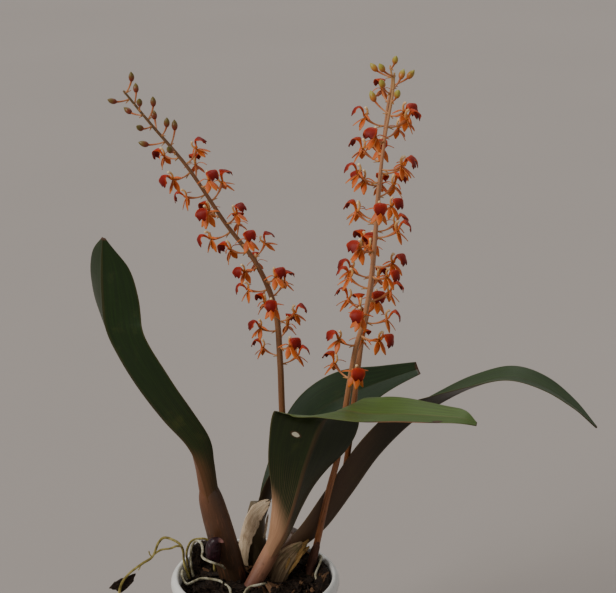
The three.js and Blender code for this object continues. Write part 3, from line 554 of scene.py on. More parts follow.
LEAF_TABLES = {
    "left": [
        ((-33.6, -4, 170), (0.2, 1, 0.1), 11, 0.1, 1.5, 1.3),
        ((-38.2, -5, 190), (0.45, 0.9, 0.25), 12, 0.3, 1, 1.9),
        ((-46, -5, 207), (0.7, 0.6, 0.4), 17, 0.55, 0.4, 1.8),
        ((-61, -7, 226), (0.72, 0.5, 0.45), 24, 0.6, 0.2, 1.6),
        ((-77, -9, 250), (0.72, 0.5, 0.45), 27, 0.55, 0.1, 1.5),
        ((-90, -10, 274), (0.74, 0.52, 0.45), 28, 0.48, 0.1, 1.4),
        ((-98, -11, 295), (0.68, 0.62, 0.4), 28, 0.42, 0.1, 1.3),
        ((-99.5, -12, 319), (0.65, 0.7, 0.3), 25.5, 0.38, 0.1, 1.2),
        ((-99, -12, 341), (0.62, 0.75, 0.2), 18, 0.35, 0.1, 1.1),
        ((-97.5, -13, 358), (0.6, 0.75, 0.2), 1.5, 0.3, 0.1, 1),
    ],
    "centre": [
        ((14.5, -7.5, 128), (-0.2, 1, 0.1), 9.5, 0.1, 1.5, 1.3),
        ((20.5, -10, 141), (-0.3, 1, 0.15), 12.5, 0.3, 0.95, 2),
        ((25.5, -12, 157), (-0.25, 1, 0.2), 16.5, 0.45, 0.7, 2),
        ((30, -13, 173), (-0.3, 1, 0.2), 20, 0.5, 0.3, 1.7),
        ((34.5, -13, 190), (-0.25, 1, 0.25), 26, 0.42, 0.1, 1.5),
        ((39.5, -13, 206), (-0.12, 0.95, 0.3), 30.5, 0.32, 0.1, 1.4),
        ((45, -14, 221.5), (-0.1, 0.85, 0.45), 33.5, 0.26, 0.1, 1.4),
        ((50.5, -18, 232.5), (-0.27, 0.52, 0.8), 32.5, 0.13, 0.1, 1.4),
        ((60, -26, 240.2), (-0.33, 0.34, 0.93), 30.5, 0.04, 0.1, 1.3),
        ((78, -37, 242), (-0.1, 0.086, 1), 27, 0.1, 0.1, 1.3),
        ((101, -45, 245.3), (0, 0.02, 1), 21.8, 0.11, 0.1, 1.2),
        ((127, -51, 246.2), (0.12, -0.02, 1), 16.5, 0.08, 0.08, 1.1),
        ((139.5, -53.5, 245.8), (0.12, -0.02, 1), 11.5, 0.08, 0.08, 1.05),
        ((148.3, -55, 242.3), (0.3, 0, 0.95), 3, 0.1, 0.1, 1),
    ],
    "right": [
        ((34, 21, 116.5), (-0.5, 0.6, 0.5), 13, 0.1, 1.35, 1.3),
        ((50.5, 19.5, 133.5), (-0.6, 0.55, 0.55), 16.5, 0.3, 0.85, 2),
        ((68.5, 18, 161), (-0.6, 0.55, 0.55), 17.5, 0.5, 0.55, 2.2),
        ((87, 17, 190), (-0.6, 0.55, 0.6), 18.5, 0.55, 0.3, 2),
        ((109, 16, 214.5), (-0.55, 0.5, 0.7), 19.5, 0.5, 0.15, 1.7),
        ((130.5, 14, 231), (-0.4, 0.36, 0.85), 20, 0.3, 0.1, 1.5),
        ((153, 11, 244), (-0.22, 0.18, 0.97), 20.5, 0.16, 0.1, 1.4),
        ((177, 8, 251), (0, 0.1, 1), 20.5, 0.12, 0.1, 1.3),
        ((200, 4, 245.5), (0.35, 0.05, 0.95), 18.5, 0.12, 0.1, 1.2),
        ((220, 0, 233), (0.5, 0, 0.87), 13, 0.12, 0.1, 1.1),
        ((236.5, -4, 219), (0.6, 0, 0.8), 1.5, 0.1, 0.1, 1),
    ],
    "back": [
        ((8, 39, 138), (-0.9, 0.2, 0.4), 11, 0.1, 1.5, 1.3),
        ((12.5, 43, 152), (-0.85, 0, 0.5), 12, 0.3, 1, 2.2),
        ((22, 48, 172), (-0.8, -0.1, 0.5), 15, 0.4, 0.5, 1.8),
        ((33.5, 54, 193), (-0.65, -0.25, 0.65), 20, 0.3, 0.2, 1.6),
        ((48, 60, 206.5), (-0.4, -0.4, 0.8), 22, 0.2, 0.1, 1.4),
        ((70, 65, 217), (-0.15, -0.5, 0.85), 20.5, 0.15, 0.1, 1.3),
        ((94, 69, 225.5), (0, -0.5, 0.85), 12.5, 0.15, 0.2, 1.2),
        ((118, 72, 233), (0, -0.5, 0.85), 6, 0.15, 0.3, 1.1),
    ],
}
GROWTHS = {
    "left": ((-13, 10, 84), [(9.5, 7.2), (10.4, 7.6), (9.2, 7), (7.4, 6)]),
    "centre": ((-9, -4, 84), [(5.6, 5.4), (5.8, 5.6), (6.2, 5.8), (6.8, 6.2)]),
    "right": ((20, 29, 84), [(8, 6.5), (8.8, 7), (9.2, 7.2), (9.5, 7.3)]),
    "back": ((0, 34, 84), [(7, 7), (7.8, 7.6), (7.6, 7), (7.7, 6.5)]),
}
BULB_SIDES = 48
BULB_STEPS = 64
BULB_FURROWS = 13
BULB_RINGS = (0.3, 0.55)
BULB_RING_WIDTH = 0.007
NECK_LENGTH = 14
CLASP = 0.74
CLASP_CURL = 1.5
ROUND = ("round_x", "round_y", "along")


def heading(curve, t):
    """The direction of a curve at t."""
    return (curve(t + 1e-3) - curve(t - 1e-3)).normalized()


def sideways(tangent, facing):
    """Two directions square to a tangent, the second one nearest to facing."""
    normal = (facing - tangent * facing.dot(tangent)).normalized()
    return normal.cross(tangent).normalized(), normal


def rod(curve, radius_at, sides, steps, facing=(0, 1, 0), dome=0.5, shape=None):
    """A closed rod along a curve. radius_at gives its radius at t and an angle. A
    shape gives two shares of it at t, across the way that facing looks and along
    it. Without a shape the rod is round, and follows the curve without a twist."""
    angles = [2 * math.pi * k / sides for k in range(sides)]
    normal = facing = Vector(facing)
    rings = []
    for i in range(steps + 1):
        t = i / steps
        across, normal = sideways(heading(curve, t), facing if shape else normal)
        wide, deep = shape(t) if shape else (1, 1)
        ring = []
        for angle in angles:
            radius = radius_at(t, angle)
            ring.append(curve(t) + across * wide * radius * math.cos(angle)
                        + normal * deep * radius * math.sin(angle))
        rings.append(ring)
    values = {"round_x": [[math.cos(angle) for angle in angles]] * len(rings),
              "round_y": [[math.sin(angle) for angle in angles]] * len(rings),
              "along": [[i / steps] * sides for i in range(steps + 1)]}
    return lofted(rings, values, dome)


def bulb_lines(side):
    """The curve along a pseudobulb's middle, its half sizes, and the way its leaf
    looks. Its top lies inside the channel of the leaf's foot."""
    root, sizes = GROWTHS[side]
    place, facing, half, fold, curl, thick = LEAF_TABLES[side][0]
    spine = through([row[0] for row in LEAF_TABLES[side]])
    foot_way = heading(spine, 0)
    foot_normal = sideways(foot_way, Vector(facing))[1]
    channel = half / curl
    end = spine(0) + foot_normal * (channel - 0.3) + foot_way * 1.5
    below = end - foot_way * NECK_LENGTH - foot_normal * 1.8
    start = Vector(root)
    curve = through([start, start.lerp(below, 0.5), below, end])
    top = channel - thick / 2 - 0.4
    return curve, through(sizes[:3] + [(min(sizes[3][0], top), min(sizes[3][1], top))]), foot_normal


def clasped(side):
    """A leaf's table with one more row below, where its foot clasps the
    pseudobulb and sinks into it."""
    curve, shape, foot_normal = bulb_lines(side)
    normal = sideways(heading(curve, CLASP), foot_normal)[1]
    wide, deep = shape(CLASP)
    seat = curve(CLASP) - normal * (deep - 0.5)
    half = (min(wide, deep * 1.2) - 0.5) * CLASP_CURL
    return [(seat, LEAF_TABLES[side][0][1], half, 0.1, CLASP_CURL, 0.6)] + LEAF_TABLES[side]


def bulb_skin(side):
    curve, shape, foot_normal = bulb_lines(side)

    def radius_at(t, angle):
        ringed = sum(math.exp(-((t - place) / BULB_RING_WIDTH) ** 2) for place in BULB_RINGS)
        furrow = 1 - 0.012 * (0.5 + 0.5 * math.cos(BULB_FURROWS * angle + 2 * t))
        return (1 + 0.012 * ringed - 0.03 * smoothstep(t, 0.985, 1)) * furrow
    return rod(curve, radius_at, BULB_SIDES, BULB_STEPS, foot_normal, 1.5, shape)


def bulb_finish(name, low, high, shine, flank_shading):
    skin = Finish(name, Specular_IOR_Level=0.45)
    along = skin.attribute("along")
    streak = skin.noise(7, 6, 0.6, skin.around(1.2))
    mottle = skin.noise(130, 4, 0.6)
    color = skin.mix(skin.step(along, 0.1, 1.0), low, high)
    color = skin.tint(color, shine, skin.step(streak, 0.52, 0.72), 0.6)
    # Painted shade: the upper right flank is darkened where the light from the left does not reach.
    right = skin.step(skin.maths("ADD", skin.attribute("round_x"), streak), 0.1, 1.2)
    color = skin.tint(color, flank_shading, skin.times(right, skin.step(along, 0.4, 0.9)), 0.85)
    color = skin.tint(color, rgb(52, 34, 22), skin.step(mottle, 0.58, 0.7), 0.55)
    rings = skin.cells(1, skin.join(0, 0, along))
    height = skin.scaled(streak, 1.0, rings)
    return skin.paint(color, skin.scaled(mottle, 0.3, 0.3), height, 0.0004, 0.6)


# For each growth: the colour at its foot, at its top, of its paler streaks, and the painted shade on its
# upper right flank.
bulb_colors = {
    "left": (rgb(56, 40, 26), rgb(108, 68, 44), rgb(134, 84, 58), rgb(52, 38, 22)),
    "centre": (rgb(100, 60, 50), rgb(172, 126, 96), rgb(180, 128, 102), rgb(92, 60, 46)),
    "right": (rgb(52, 36, 28), rgb(84, 60, 44), rgb(108, 80, 56), rgb(62, 44, 32)),
    "back": (rgb(78, 66, 46), rgb(96, 82, 58), rgb(126, 110, 84), rgb(70, 60, 40)),
}
for growth_side, shades in bulb_colors.items():
    bulb_name = f"bulb_{growth_side}"
    as_piece(bulb_name, made(bulb_name, [bulb_skin(growth_side)], ROUND),
             bulb_finish(bulb_name + " skin", *shades), "pseudobulb", f"pseudobulb_{growth_side}")

# Leaves
# Thin, leathery blades that narrow to a channelled foot. The underside has a
# keeled midrib and fine parallel veins. Two show their undersides to the front.

LEAF_EDGE = 0.7
LEAF_STEPS = 11
LEAF_WAVE = 0.5
LEAF_KEEL = 0.35
LEAF_REACHES = (0, 0.05, 0.12, 0.22, 0.34, 0.46, 0.58, 0.7, 0.8, 0.88, 0.94, 0.98, 1)
FLAT = ("across", "along", "under")
SOFT_FOLD = 0.06


def blade(table, reaches, steps, edge, wave=0.0, keel=0.0, ragged=0.0, pleats=0.0, frayed=0.0):
    """A folded ribbon, closed round its margins. Each row of the table gives the
    midrib's place, the way the upper face looks, the half width, the fold at the
    midrib, the further curl out to the margin and the midrib's thickness. ragged
    and frayed are the shares of its length and width that torn edges may lack,
    and pleats is the height of its lengthwise folds."""
    spine = through([row[0] for row in table])
    facing = through([row[1] for row in table])
    form = through([row[2:6] for row in table])
    shares = [-reach for reach in reversed(reaches[1:])] + list(reaches)
    count = (len(table) - 1) * steps
    rings, across_rows, along_rows, under_rows = [], [], [], []
    for i in range(count + 1):
        upper, lower = [], []
        for share in shares:
            torn = ragged * (0.5 + noise.noise(Vector((share * 3.1, table[0][0][0], 0))))
            t = i / count * (1 - torn - ragged * 0.4 * abs(math.sin(share * 17)))
            side, normal = sideways(heading(spine, t), facing(t))
            half, fold, curl, thick = form(t)
            half = max(half, 0.4)
            curl = curl if abs(curl) > 1e-4 else 1e-4
            reach = abs(share)
            hand = 1 if share > 0 else -1
            half *= 1 - frayed * (0.5 + noise.noise(Vector((t * 19, hand * 3.3, table[0][0][0]))))
            out = half / curl * (math.sin(fold + curl * reach) - math.sin(fold))
            rise = half / curl * (math.cos(fold) - math.cos(fold + curl * reach))
            rise += pleats * math.sin(share * 15 + t * 4)
            ripple = math.sin(t * 2.1 * len(table) + hand * 1.9 + table[0][0][2])
            rise += wave * reach ** 2 * min(1, half / 15) * ripple
            place = spine(t) + side * hand * out + normal * rise
            lean = fold + curl * reach
            if reach <= SOFT_FOLD:
                lean = (fold + curl * SOFT_FOLD) * reach / SOFT_FOLD
            face = normal * math.cos(lean) - side * hand * math.sin(lean)
            rounded = math.sqrt(max(0.02, 1 - (max(0, reach - 0.93) / 0.07) ** 2))
            depth = (thick + (min(thick, edge) - thick) * reach) * rounded
            groove = keel * 0.5 * math.exp(-(share / 0.05) ** 2)
            ridge = keel * math.exp(-(share / 0.045) ** 2)
            upper.append(place + face * (depth / 2 - groove))
            lower.append(place - face * (depth / 2 * 0.9 + ridge))
        rings.append(upper + lower[::-1])
        across_rows.append(shares + shares[::-1])
        along_rows.append([i / count] * (2 * len(shares)))
        under_rows.append([0.0] * len(shares) + [1.0] * len(shares))
    values = {"across": across_rows, "along": along_rows, "under": under_rows}
    return lofted(rings, values, ladder=True)


def leaf_finish(name, upper, under, foot, keel_color, foot_reach, slant, marks=()):
    """Dark green leather, veined near the foot, where it keeps the colour of the
    stem up to a slanted border. How strongly it keeps it there is painted light and
    shade: strongly on the foot's left flank, lit from the left, and faintly on its
    shaded right flank. A mark is a scar: across, along, half width, half length, colour."""
    leaf = Finish(name, Specular_IOR_Level=0.26, Coat_Weight=0.05, Coat_Roughness=0.35)
    across, along, below = (leaf.attribute(label) for label in FLAT)
    side = leaf.step(below, 0.3, 0.7)
    streak = leaf.noise(2.2, 5, 0.6, leaf.join(leaf.times(across, 9), leaf.times(along, 3), side))
    mottle = leaf.noise(55, 4, 0.6)
    fine = leaf.noise(700, 3)
    wander = leaf.scaled(streak, 2.4, leaf.times(across, 52))
    veins = leaf.maths("ABSOLUTE", leaf.maths("SINE", wander))
    low_down = leaf.less(leaf.step(along, foot_reach * 0.5, foot_reach * 1.9))
    blade_color = leaf.mix(side, upper, under)
    dark = leaf.mix(0.4, blade_color, rgb(12, 18, 8))
    color = leaf.mix(leaf.step(streak, 0.35, 0.7), dark, blade_color)
    color = leaf.tint(color, rgb(84, 86, 36), leaf.step(mottle, 0.55, 0.75), 0.22)
    vein_line = leaf.times(leaf.step(veins, 0.8, 1.0), low_down)
    color = leaf.tint(color, foot, vein_line, leaf.scaled(side, 0.2, 0.06))
    border = leaf.scaled(across, slant, leaf.scaled(streak, 0.05, along))
    young = leaf.less(leaf.step(border, foot_reach * (1 - slant * 5), foot_reach * 1.1))
    # Painted light and shade: the stem colour is strongest on the foot's left flank, lit from the left, and
    # faint on its shaded right flank.
    flank_shading = leaf.step(leaf.maths("SUBTRACT", streak, across), -0.4, 1.1)
    color = leaf.tint(color, foot, young, leaf.scaled(flank_shading, 0.85, 0.15))
    furrow = leaf.times(leaf.step(streak, 0.45, 0.62), young)
    color = leaf.tint(color, keel_color, furrow, 0.4)
    off_middle = leaf.maths("ABSOLUTE", across)
    middle = leaf.less(leaf.step(off_middle, 0.02, 0.075))
    keeled = leaf.scaled(leaf.less(leaf.step(along, 0.15, 0.42)), 0.5, 0.2)
    color = leaf.tint(color, keel_color, middle, keeled)
    color = leaf.tint(color, rgb(104, 92, 48), leaf.step(off_middle, 0.955, 0.995), 0.35)
    tip = leaf.step(leaf.scaled(mottle, 0.05, along), 1.012, 1.022)
    color = leaf.mix(tip, color, rgb(76, 50, 28))
    for mark_across, mark_along, wide, tall, mark_color in marks:
        off_x = leaf.maths("DIVIDE", leaf.maths("SUBTRACT", across, mark_across), wide)
        off_y = leaf.maths("DIVIDE", leaf.maths("SUBTRACT", along, mark_along), tall)
        away = leaf.maths("SQRT", leaf.scaled(off_x, off_x, leaf.times(off_y, off_y)))
        away = leaf.scaled(fine, 0.4, away)
        color = leaf.mix(leaf.less(leaf.step(away, 1.3, 1.6)), color, rgb(60, 44, 24))
        color = leaf.mix(leaf.less(leaf.step(away, 0.95, 1.15)), color, mark_color)
    height = leaf.maths("ADD", leaf.times(veins, leaf.scaled(low_down, 0.5, 0.07)),
                        leaf.scaled(streak, 0.5, leaf.times(fine, 0.25)))
    return leaf.paint(color, leaf.scaled(mottle, 0.25, 0.3), height, 0.0003, 0.5)


leaf_colors = {
    "left": (rgb(44, 70, 20), rgb(27, 49, 11), rgb(120, 76, 50), rgb(88, 60, 36), 0.3, 0.06, ()),
    "centre": (rgb(86, 112, 44), rgb(32, 42, 12), rgb(178, 136, 104), rgb(124, 88, 64), 0.223, 0.085,
               ((-0.42, 0.459, 0.1, 0.008, rgb(186, 180, 160)),
                (-0.84, 0.85, 0.14, 0.009, rgb(78, 48, 28)),
                (-1, 0.79, 0.05, 0.05, rgb(120, 84, 50)))),
    "right": (rgb(48, 70, 26), rgb(38, 34, 16), rgb(78, 58, 44), rgb(80, 64, 42), 0.4, 0.1, ()),
    "back": (rgb(38, 60, 28), rgb(32, 42, 18), rgb(60, 44, 26), rgb(70, 68, 42), 0.36, 0.06, ()),
}
for leaf_side, shades in leaf_colors.items():
    leaf_name = f"blade_{leaf_side}"
    leaf_skin = blade(clasped(leaf_side), LEAF_REACHES, LEAF_STEPS, LEAF_EDGE, LEAF_WAVE, LEAF_KEEL)
    as_piece(leaf_name, made(leaf_name, [leaf_skin], FLAT), leaf_finish(leaf_name + " skin", *shades),
             "leaf", f"leaf_{leaf_side}")

# Papery sheath
# The dry leaf base that wraps the left side of the back pseudobulb: a tan, fibrous
# sheet, torn along its top, that bends over to the right in a point.

SHEATH = [
    ((-11.8, 31.5, 93), (0.9, 0.45, 0), 8.5, 0.05, 0.6, 0.8),
    ((-12, 31.5, 105), (0.9, 0.45, 0), 9, 0.05, 0.6, 0.8),
    ((-11.2, 31, 114), (0.88, 0.45, -0.15), 9.5, 0.05, 0.9, 0.8),
    ((-9.2, 30, 123.5), (0.85, 0.48, -0.25), 10, 0.05, 1, 0.8),
    ((-6.4, 28, 132.5), (0.8, 0.5, -0.35), 11, 0.05, 1, 0.8),
    ((-2, 24.7, 141.8), (0.65, 0.5, -0.55), 10, 0.05, 0.9, 0.8),
    ((5.3, 22.3, 148.3), (0.45, 0.45, -0.8), 7, 0.05, 0.6, 0.8),
    ((12.3, 22, 152), (0.4, 0.4, -0.85), 1, 0.05, 0.3, 0.8),
]
SHEATH_SHRED = [
    ((5.6, 25, 120), (0.5, 1, 0), 0.8, 0.1, 0.4, 0.5),
    ((7, 24.6, 128), (0.5, 1, 0), 1.1, 0.1, 0.5, 0.5),
    ((8, 24.4, 135), (0.4, 1, 0), 1, 0.1, 0.5, 0.5),
    ((9, 24.6, 140), (0.4, 1, 0), 0.4, 0.1, 0.4, 0.5),
]
SHEATH_REACHES = (0, 0.12, 0.25, 0.38, 0.5, 0.62, 0.74, 0.84, 0.92, 0.97, 1)
SHRED_REACHES = (0, 0.5, 0.9, 1)
SHEATH_STEPS = 14
SHRED_STEPS = 8


def paper_finish(name, pale, mid, dark):
    """Dry plant paper: lengthwise fibres, stained darker towards its foot."""
    paper = Finish(name, Specular_IOR_Level=0.3)
    across, along = paper.attribute("across"), paper.attribute("along")
    grain = paper.join(paper.times(across, 14), paper.times(along, 2.2))
    fibre = paper.noise(3.0, 6, 0.65, grain)
    color = paper.ramp(fibre, [(0.3, dark), (0.5, mid), (0.72, pale)])
    color = paper.tint(color, dark, paper.step(paper.noise(90, 4, 0.6), 0.5, 0.7), 0.5)
    color = paper.tint(color, rgb(88, 72, 34), paper.less(paper.step(along, 0.0, 0.35)), 0.55)
    return paper.paint(color, paper.scaled(fibre, 0.3, 0.6), fibre, 0.0005, 0.8)


sheath_paper = paper_finish("sheath paper", rgb(246, 230, 206), rgb(216, 192, 160), rgb(140, 110, 80))
sheath_skins = [blade(SHEATH, SHEATH_REACHES, SHEATH_STEPS, 0.5, ragged=0.08, pleats=0.35, frayed=0.12),
                blade(SHEATH_SHRED, SHRED_REACHES, SHRED_STEPS, 0.4, ragged=0.05, frayed=0.3)]
as_piece("sheath_paper", made("sheath_paper", sheath_skins, FLAT), sheath_paper, "sheath",
         "sheath_back")

# Old growth
# A shrivelled, leafless pseudobulb with deep lengthwise wrinkles, and the torn
# strips of its dead sheath standing round its top.

OLD_BULB_POINTS = [(13.5, 6, 84), (15.5, 6.5, 98), (20.5, 7, 110), (27, 7, 118.5), (33.5, 7, 125.5)]
OLD_BULB_SIZES = [(6, 5), (7.8, 6), (7.8, 6), (6, 4.6), (1.8, 1.5)]
OLD_BULB_SIDES = 56
OLD_BULB_STEPS = 44
TORN_STRIPS = [
    ((27, 6.5, 115), (33, 5.5, 123), (38.4, 5, 130), 2.6),
    ((28.5, 7, 113), (34, 6.4, 119), (39, 6.5, 123.5), 2.2),
    ((23, 2.5, 103.5), (29.5, 2.2, 113), (35, 3, 122.5), 1.5),
    ((26, 3.4, 112), (31.5, 3, 119.5), (35.4, 3.4, 127), 1.8),
    ((29, 9.5, 115), (34.5, 10, 121), (37.5, 10, 126), 1.9),
    ((19, 2.4, 104), (22.5, 1.6, 111), (24.8, 1.8, 117), 1.6),
]
STRIP_REACHES = (0, 0.2, 0.4, 0.6, 0.8, 0.93, 1)
TO_BACK = (0.3, 1, -0.2)


def old_bulb_radius(t, angle):
    x, y = math.cos(angle), math.sin(angle)
    wrinkle = noise.noise(Vector((x * 3.4, y * 3.4, t * 1.4))) * 0.16
    wrinkle += noise.noise(Vector((x * 8, y * 8, t * 3))) * 0.07
    return 0.95 + wrinkle - 0.05 * math.cos(5 * angle + t)


def old_bulb_finish():
    skin = Finish("old bulb skin", Specular_IOR_Level=0.3)
    streak = skin.noise(4.5, 6, 0.65, skin.around(0.6))
    patch = skin.noise(95, 4)
    color = skin.ramp(streak, [(0.32, rgb(76, 58, 42)), (0.5, rgb(142, 118, 88)),
                               (0.7, rgb(190, 166, 130))])
    color = skin.tint(color, rgb(88, 92, 46), skin.step(patch, 0.56, 0.7), 0.5)
    low = skin.less(skin.step(skin.attribute("along"), 0.25, 0.6))
    color = skin.tint(color, rgb(66, 50, 34), low, 0.6)
    return skin.paint(color, skin.scaled(patch, 0.2, 0.65), streak, 0.0007, 0.9)


old_skin = rod(through(OLD_BULB_POINTS), old_bulb_radius, OLD_BULB_SIDES, OLD_BULB_STEPS,
               dome=0.6, shape=through(OLD_BULB_SIZES))
as_piece("old_stem", made("old_stem", [old_skin], ROUND), old_bulb_finish(), "old_growth", "old_bulb")
strip_skins = []
for low, middle, high, wide in TORN_STRIPS:
    rows = [(low, TO_BACK, wide, 0.1, 0.9, 0.7), (middle, TO_BACK, wide * 0.9, 0.1, 0.7, 0.6),
            (high, TO_BACK, 0.5, 0.1, 0.4, 0.5)]
    strip_skins.append(blade(rows, STRIP_REACHES, SHRED_STEPS, 0.5, wave=0.6, ragged=0.08,
                             pleats=0.2, frayed=0.25))
torn_paper = paper_finish("torn paper", rgb(206, 172, 112), rgb(168, 130, 74), rgb(98, 70, 40))
as_piece("old_strips", made("old_strips", strip_skins, FLAT), torn_paper, "old_growth", "old_bulb")

# New shoot
# The next growth: a plump dark purple bud on the left pseudobulb, wrapped in close
# scales, with a pale tip that bends to the right.

SHOOT_POINTS = [(-27.2, -3.6, 116.5), (-29.2, -6.5, 122.5), (-29.4, -8.1, 129), (-27.8, -9.2, 134.2),
                (-24.8, -10, 136), (-21.8, -10.6, 134.8)]
SHOOT_RADII = [3, 5, 5.3, 3.9, 2.3, 0.9]
SHOOT_SCALES = (0.3, 0.5, 0.68)
SHOOT_SIDES = 32
SHOOT_STEPS = 96

shoot_size = through([(radius, 0, 0) for radius in SHOOT_RADII])


def shoot_radius(t, angle):
    """Each scale stands a little proud where it overlaps the next one."""
    lap = 0
    for number, scale in enumerate(SHOOT_SCALES):
        edge = scale + 0.07 * math.cos(angle - 2.4 * number)
        lap += 0.3 * smoothstep(t, edge - 0.3, edge) * (1 - smoothstep(t, edge, edge + 0.012))
    return shoot_size(t)[0] * (1 - 0.25 * smoothstep(t, 0.97, 1)) + min(lap, 0.4) - 0.2


def shoot_finish():
    shoot = Finish("shoot skin", Specular_IOR_Level=0.3)
    streak = shoot.noise(6, 5, 0.6, shoot.around(1))
    color = shoot.ramp(streak, [(0.3, rgb(24, 12, 16)), (0.55, rgb(46, 22, 30)), (0.8, rgb(78, 40, 44))])
    tip = shoot.step(shoot.attribute("along"), 0.76, 0.95)
    color = shoot.tint(color, rgb(188, 132, 122), tip, 0.75)
    return shoot.paint(color, shoot.scaled(streak, 0.2, 0.3), streak, 0.0002, 0.5)


shoot_skin = rod(through(SHOOT_POINTS), shoot_radius, SHOOT_SIDES, SHOOT_STEPS)
as_piece("shoot_scales", made("shoot_scales", [shoot_skin], ROUND), shoot_finish(), "shoot", "new_shoot")

# Flower stems
# Three ribbed, wiry stems, orange-brown and glossy, that thin towards the tip.

SPIKES = {
    "left": dict(
        stem=[
            (14.3, -3.2, 129.5), (19.2, -4.4, 142), (23.8, -4.3, 157), (25, 4.4, 176),
            (21.8, 14, 197), (19.3, 21, 220), (18, 23, 257), (14.8, 22, 296), (2.5, 18, 330),
            (-18, 14, 360), (-42, 8, 400), (-66, 2, 432), (-82, -2, 454)],
        radii=[2.4, 2.4, 2.5, 2.5, 2.5, 2.4, 2.3, 2.1, 1.8, 1.5, 1.3, 1, 0.75],
        flowers=(28, 0.37, 0.84), buds=(12, 0.995), seed=11, phase=0.4),
    "front": dict(
        stem=[
            (38, 14, 84), (38.6, 13.5, 98), (44.2, 11.5, 125), (51.8, 10.5, 163), (58.6, 11, 192),
            (64.8, 12, 235.5), (69.8, 5, 272), (76.4, -5, 304), (80.8, -12, 345), (83, -16, 388),
            (87, -17, 426), (91.5, -17, 454), (92.5, -18, 469)],
        radii=[3.1, 3, 2.5, 2.4, 2.3, 2.2, 2, 1.8, 1.6, 1.35, 1.1, 0.9, 0.65],
        flowers=(21, 0.43, 0.91), buds=(4, 0.995), seed=5, phase=2.6),
    "rear": dict(
        stem=[
            (32, 23.8, 119.6), (46.7, 23.4, 137.8), (61.5, 24.5, 165), (66.5, 26.5, 193),
            (70, 28, 226), (74.5, 31, 267), (80.5, 33, 302), (84, 34, 347), (87, 34, 393),
            (90.5, 33, 433), (93.5, 32, 452), (92, 32, 464)],
        radii=[2.4, 2.4, 2.4, 2.3, 2.2, 2, 1.8, 1.5, 1.3, 1.1, 0.9, 0.65],
        flowers=(20, 0.49, 0.93), buds=(4, 0.995), seed=3, phase=0.2),
}
STEM_RIBS = 5
STEM_SIDES = 20
STEM_STEPS_BETWEEN = 12


def stem_skin(plan):
    size = through([(radius, 0, 0) for radius in plan["radii"]])

    def radius_at(t, angle):
        return size(t)[0] * 0.93 * (1 + 0.05 * math.cos(STEM_RIBS * angle))
    steps = (len(plan["stem"]) - 1) * STEM_STEPS_BETWEEN
    return rod(through(plan["stem"]), radius_at, STEM_SIDES, steps)


def stem_finish(name, upper, tip):
    stem = Finish(name, Specular_IOR_Level=0.45)
    along = stem.attribute("along")
    streak = stem.noise(3.2, 5, 0.6, stem.around(9))
    speck = stem.noise(600, 3, 0.6)
    color = stem.ramp(streak, [(0.3, rgb(80, 42, 20)), (0.5, rgb(132, 78, 42)),
                               (0.72, rgb(172, 116, 70))])
    color = stem.tint(color, upper, stem.step(along, 0.3, 0.55), 0.75)
    color = stem.tint(color, tip, stem.step(along, 0.8, 1.0), 0.7)
    color = stem.tint(color, rgb(62, 32, 22), stem.step(speck, 0.6, 0.72), 0.45)
    return stem.paint(color, stem.scaled(speck, 0.2, 0.32), streak, 0.0003, 0.5)


right_colors = (rgb(196, 142, 104), rgb(190, 150, 90))
stem_colors = {"left": (rgb(140, 100, 68), rgb(98, 84, 48)), "front": right_colors, "rear": right_colors}
for spike_side, plan in SPIKES.items():
    stem_name = f"stem_{spike_side}"
    as_piece(stem_name, made(stem_name, [stem_skin(plan)], ROUND),
             stem_finish(stem_name + " skin", *stem_colors[spike_side]), "spike", f"spike_{spike_side}")

STEM_SHEATH = [
    ((38, 10.6, 86), (0, 1, 0), 9.2, 0.05, 2.7, 0.5),
    ((38.6, 10.1, 98), (0, 1, 0), 9.1, 0.05, 2.7, 0.5),
    ((41.4, 9.5, 112), (0, 1, 0.1), 7.8, 0.05, 2.5, 0.5),
    ((43.6, 9.1, 121), (0, 1, 0.1), 3.2, 0.05, 1.2, 0.45),
    ((44.9, 8.8, 126), (0, 1, 0.1), 0.5, 0.05, 0.3, 0.4),
]
purple_paper = paper_finish("stem sheath paper", rgb(126, 88, 64), rgb(88, 56, 44), rgb(50, 30, 30))
stem_sheath = blade(STEM_SHEATH, SHEATH_REACHES, SHRED_STEPS, 0.4, ragged=0.05)
as_piece("stem_sheath", made("stem_sheath", [stem_sheath], FLAT), purple_paper, "spike", "spike_front")

# Flowers and buds
# Small orange flowers on curved stalks, the lowest oldest. Each has three narrow
# sepals and two thread-like petals bent back, a red lip that rises on a claw and
# bends over in a two-lobed fan, and a pale hooked column. Buds close the tips.

GOLDEN_TURN = math.radians(137.5)
PEDICEL_OUT = 12
PEDICEL_RISE = 3.6
ANGLE_SPREAD = 0.25
FLOWER_SIZES = (0.98, 1.14)
FLOWER_KINDS = 4
BUD_KINDS = 4
STALK, SEPAL, PETAL, LIP, COLUMN, BRACT, BUD = range(7)
ORGAN_LABELS = ("organ", "across", "along", "under")
LIP_REACHES = (0, 0.22, 0.45, 0.68, 0.88, 1)
SEPAL_REACHES = (0, 0.4, 0.8, 1)
PETAL_REACHES = (0, 1)
BRACT_REACHES = (0, 0.6, 1)
ORGAN_STEPS = 3
ORGAN_EDGE = 0.35
STALK_SIDES = 8
STALK_STEPS = 11
COLUMN_SIDES = 8
COLUMN_STEPS = 10
CALLUS_SIDES = 5
BUD_SIDES = 12
BUD_STEPS = 10
FLOWER_SEED = 7
DRAW_FACTOR = 1664525
DRAW_SHIFT = 1013904223
DRAW_RANGE = 4294967296


def from_heart(out, rise, aside):
    """A place near the flower's heart, seen from the stalk's foot on the stem."""
    return (PEDICEL_OUT + out, aside, PEDICEL_RISE + rise)


def organ(skin, number):
    """A skin marked as one organ of the flower."""
    places, faces, numbers = skin
    return places, faces, {**numbers, "organ": [float(number)] * len(places)}


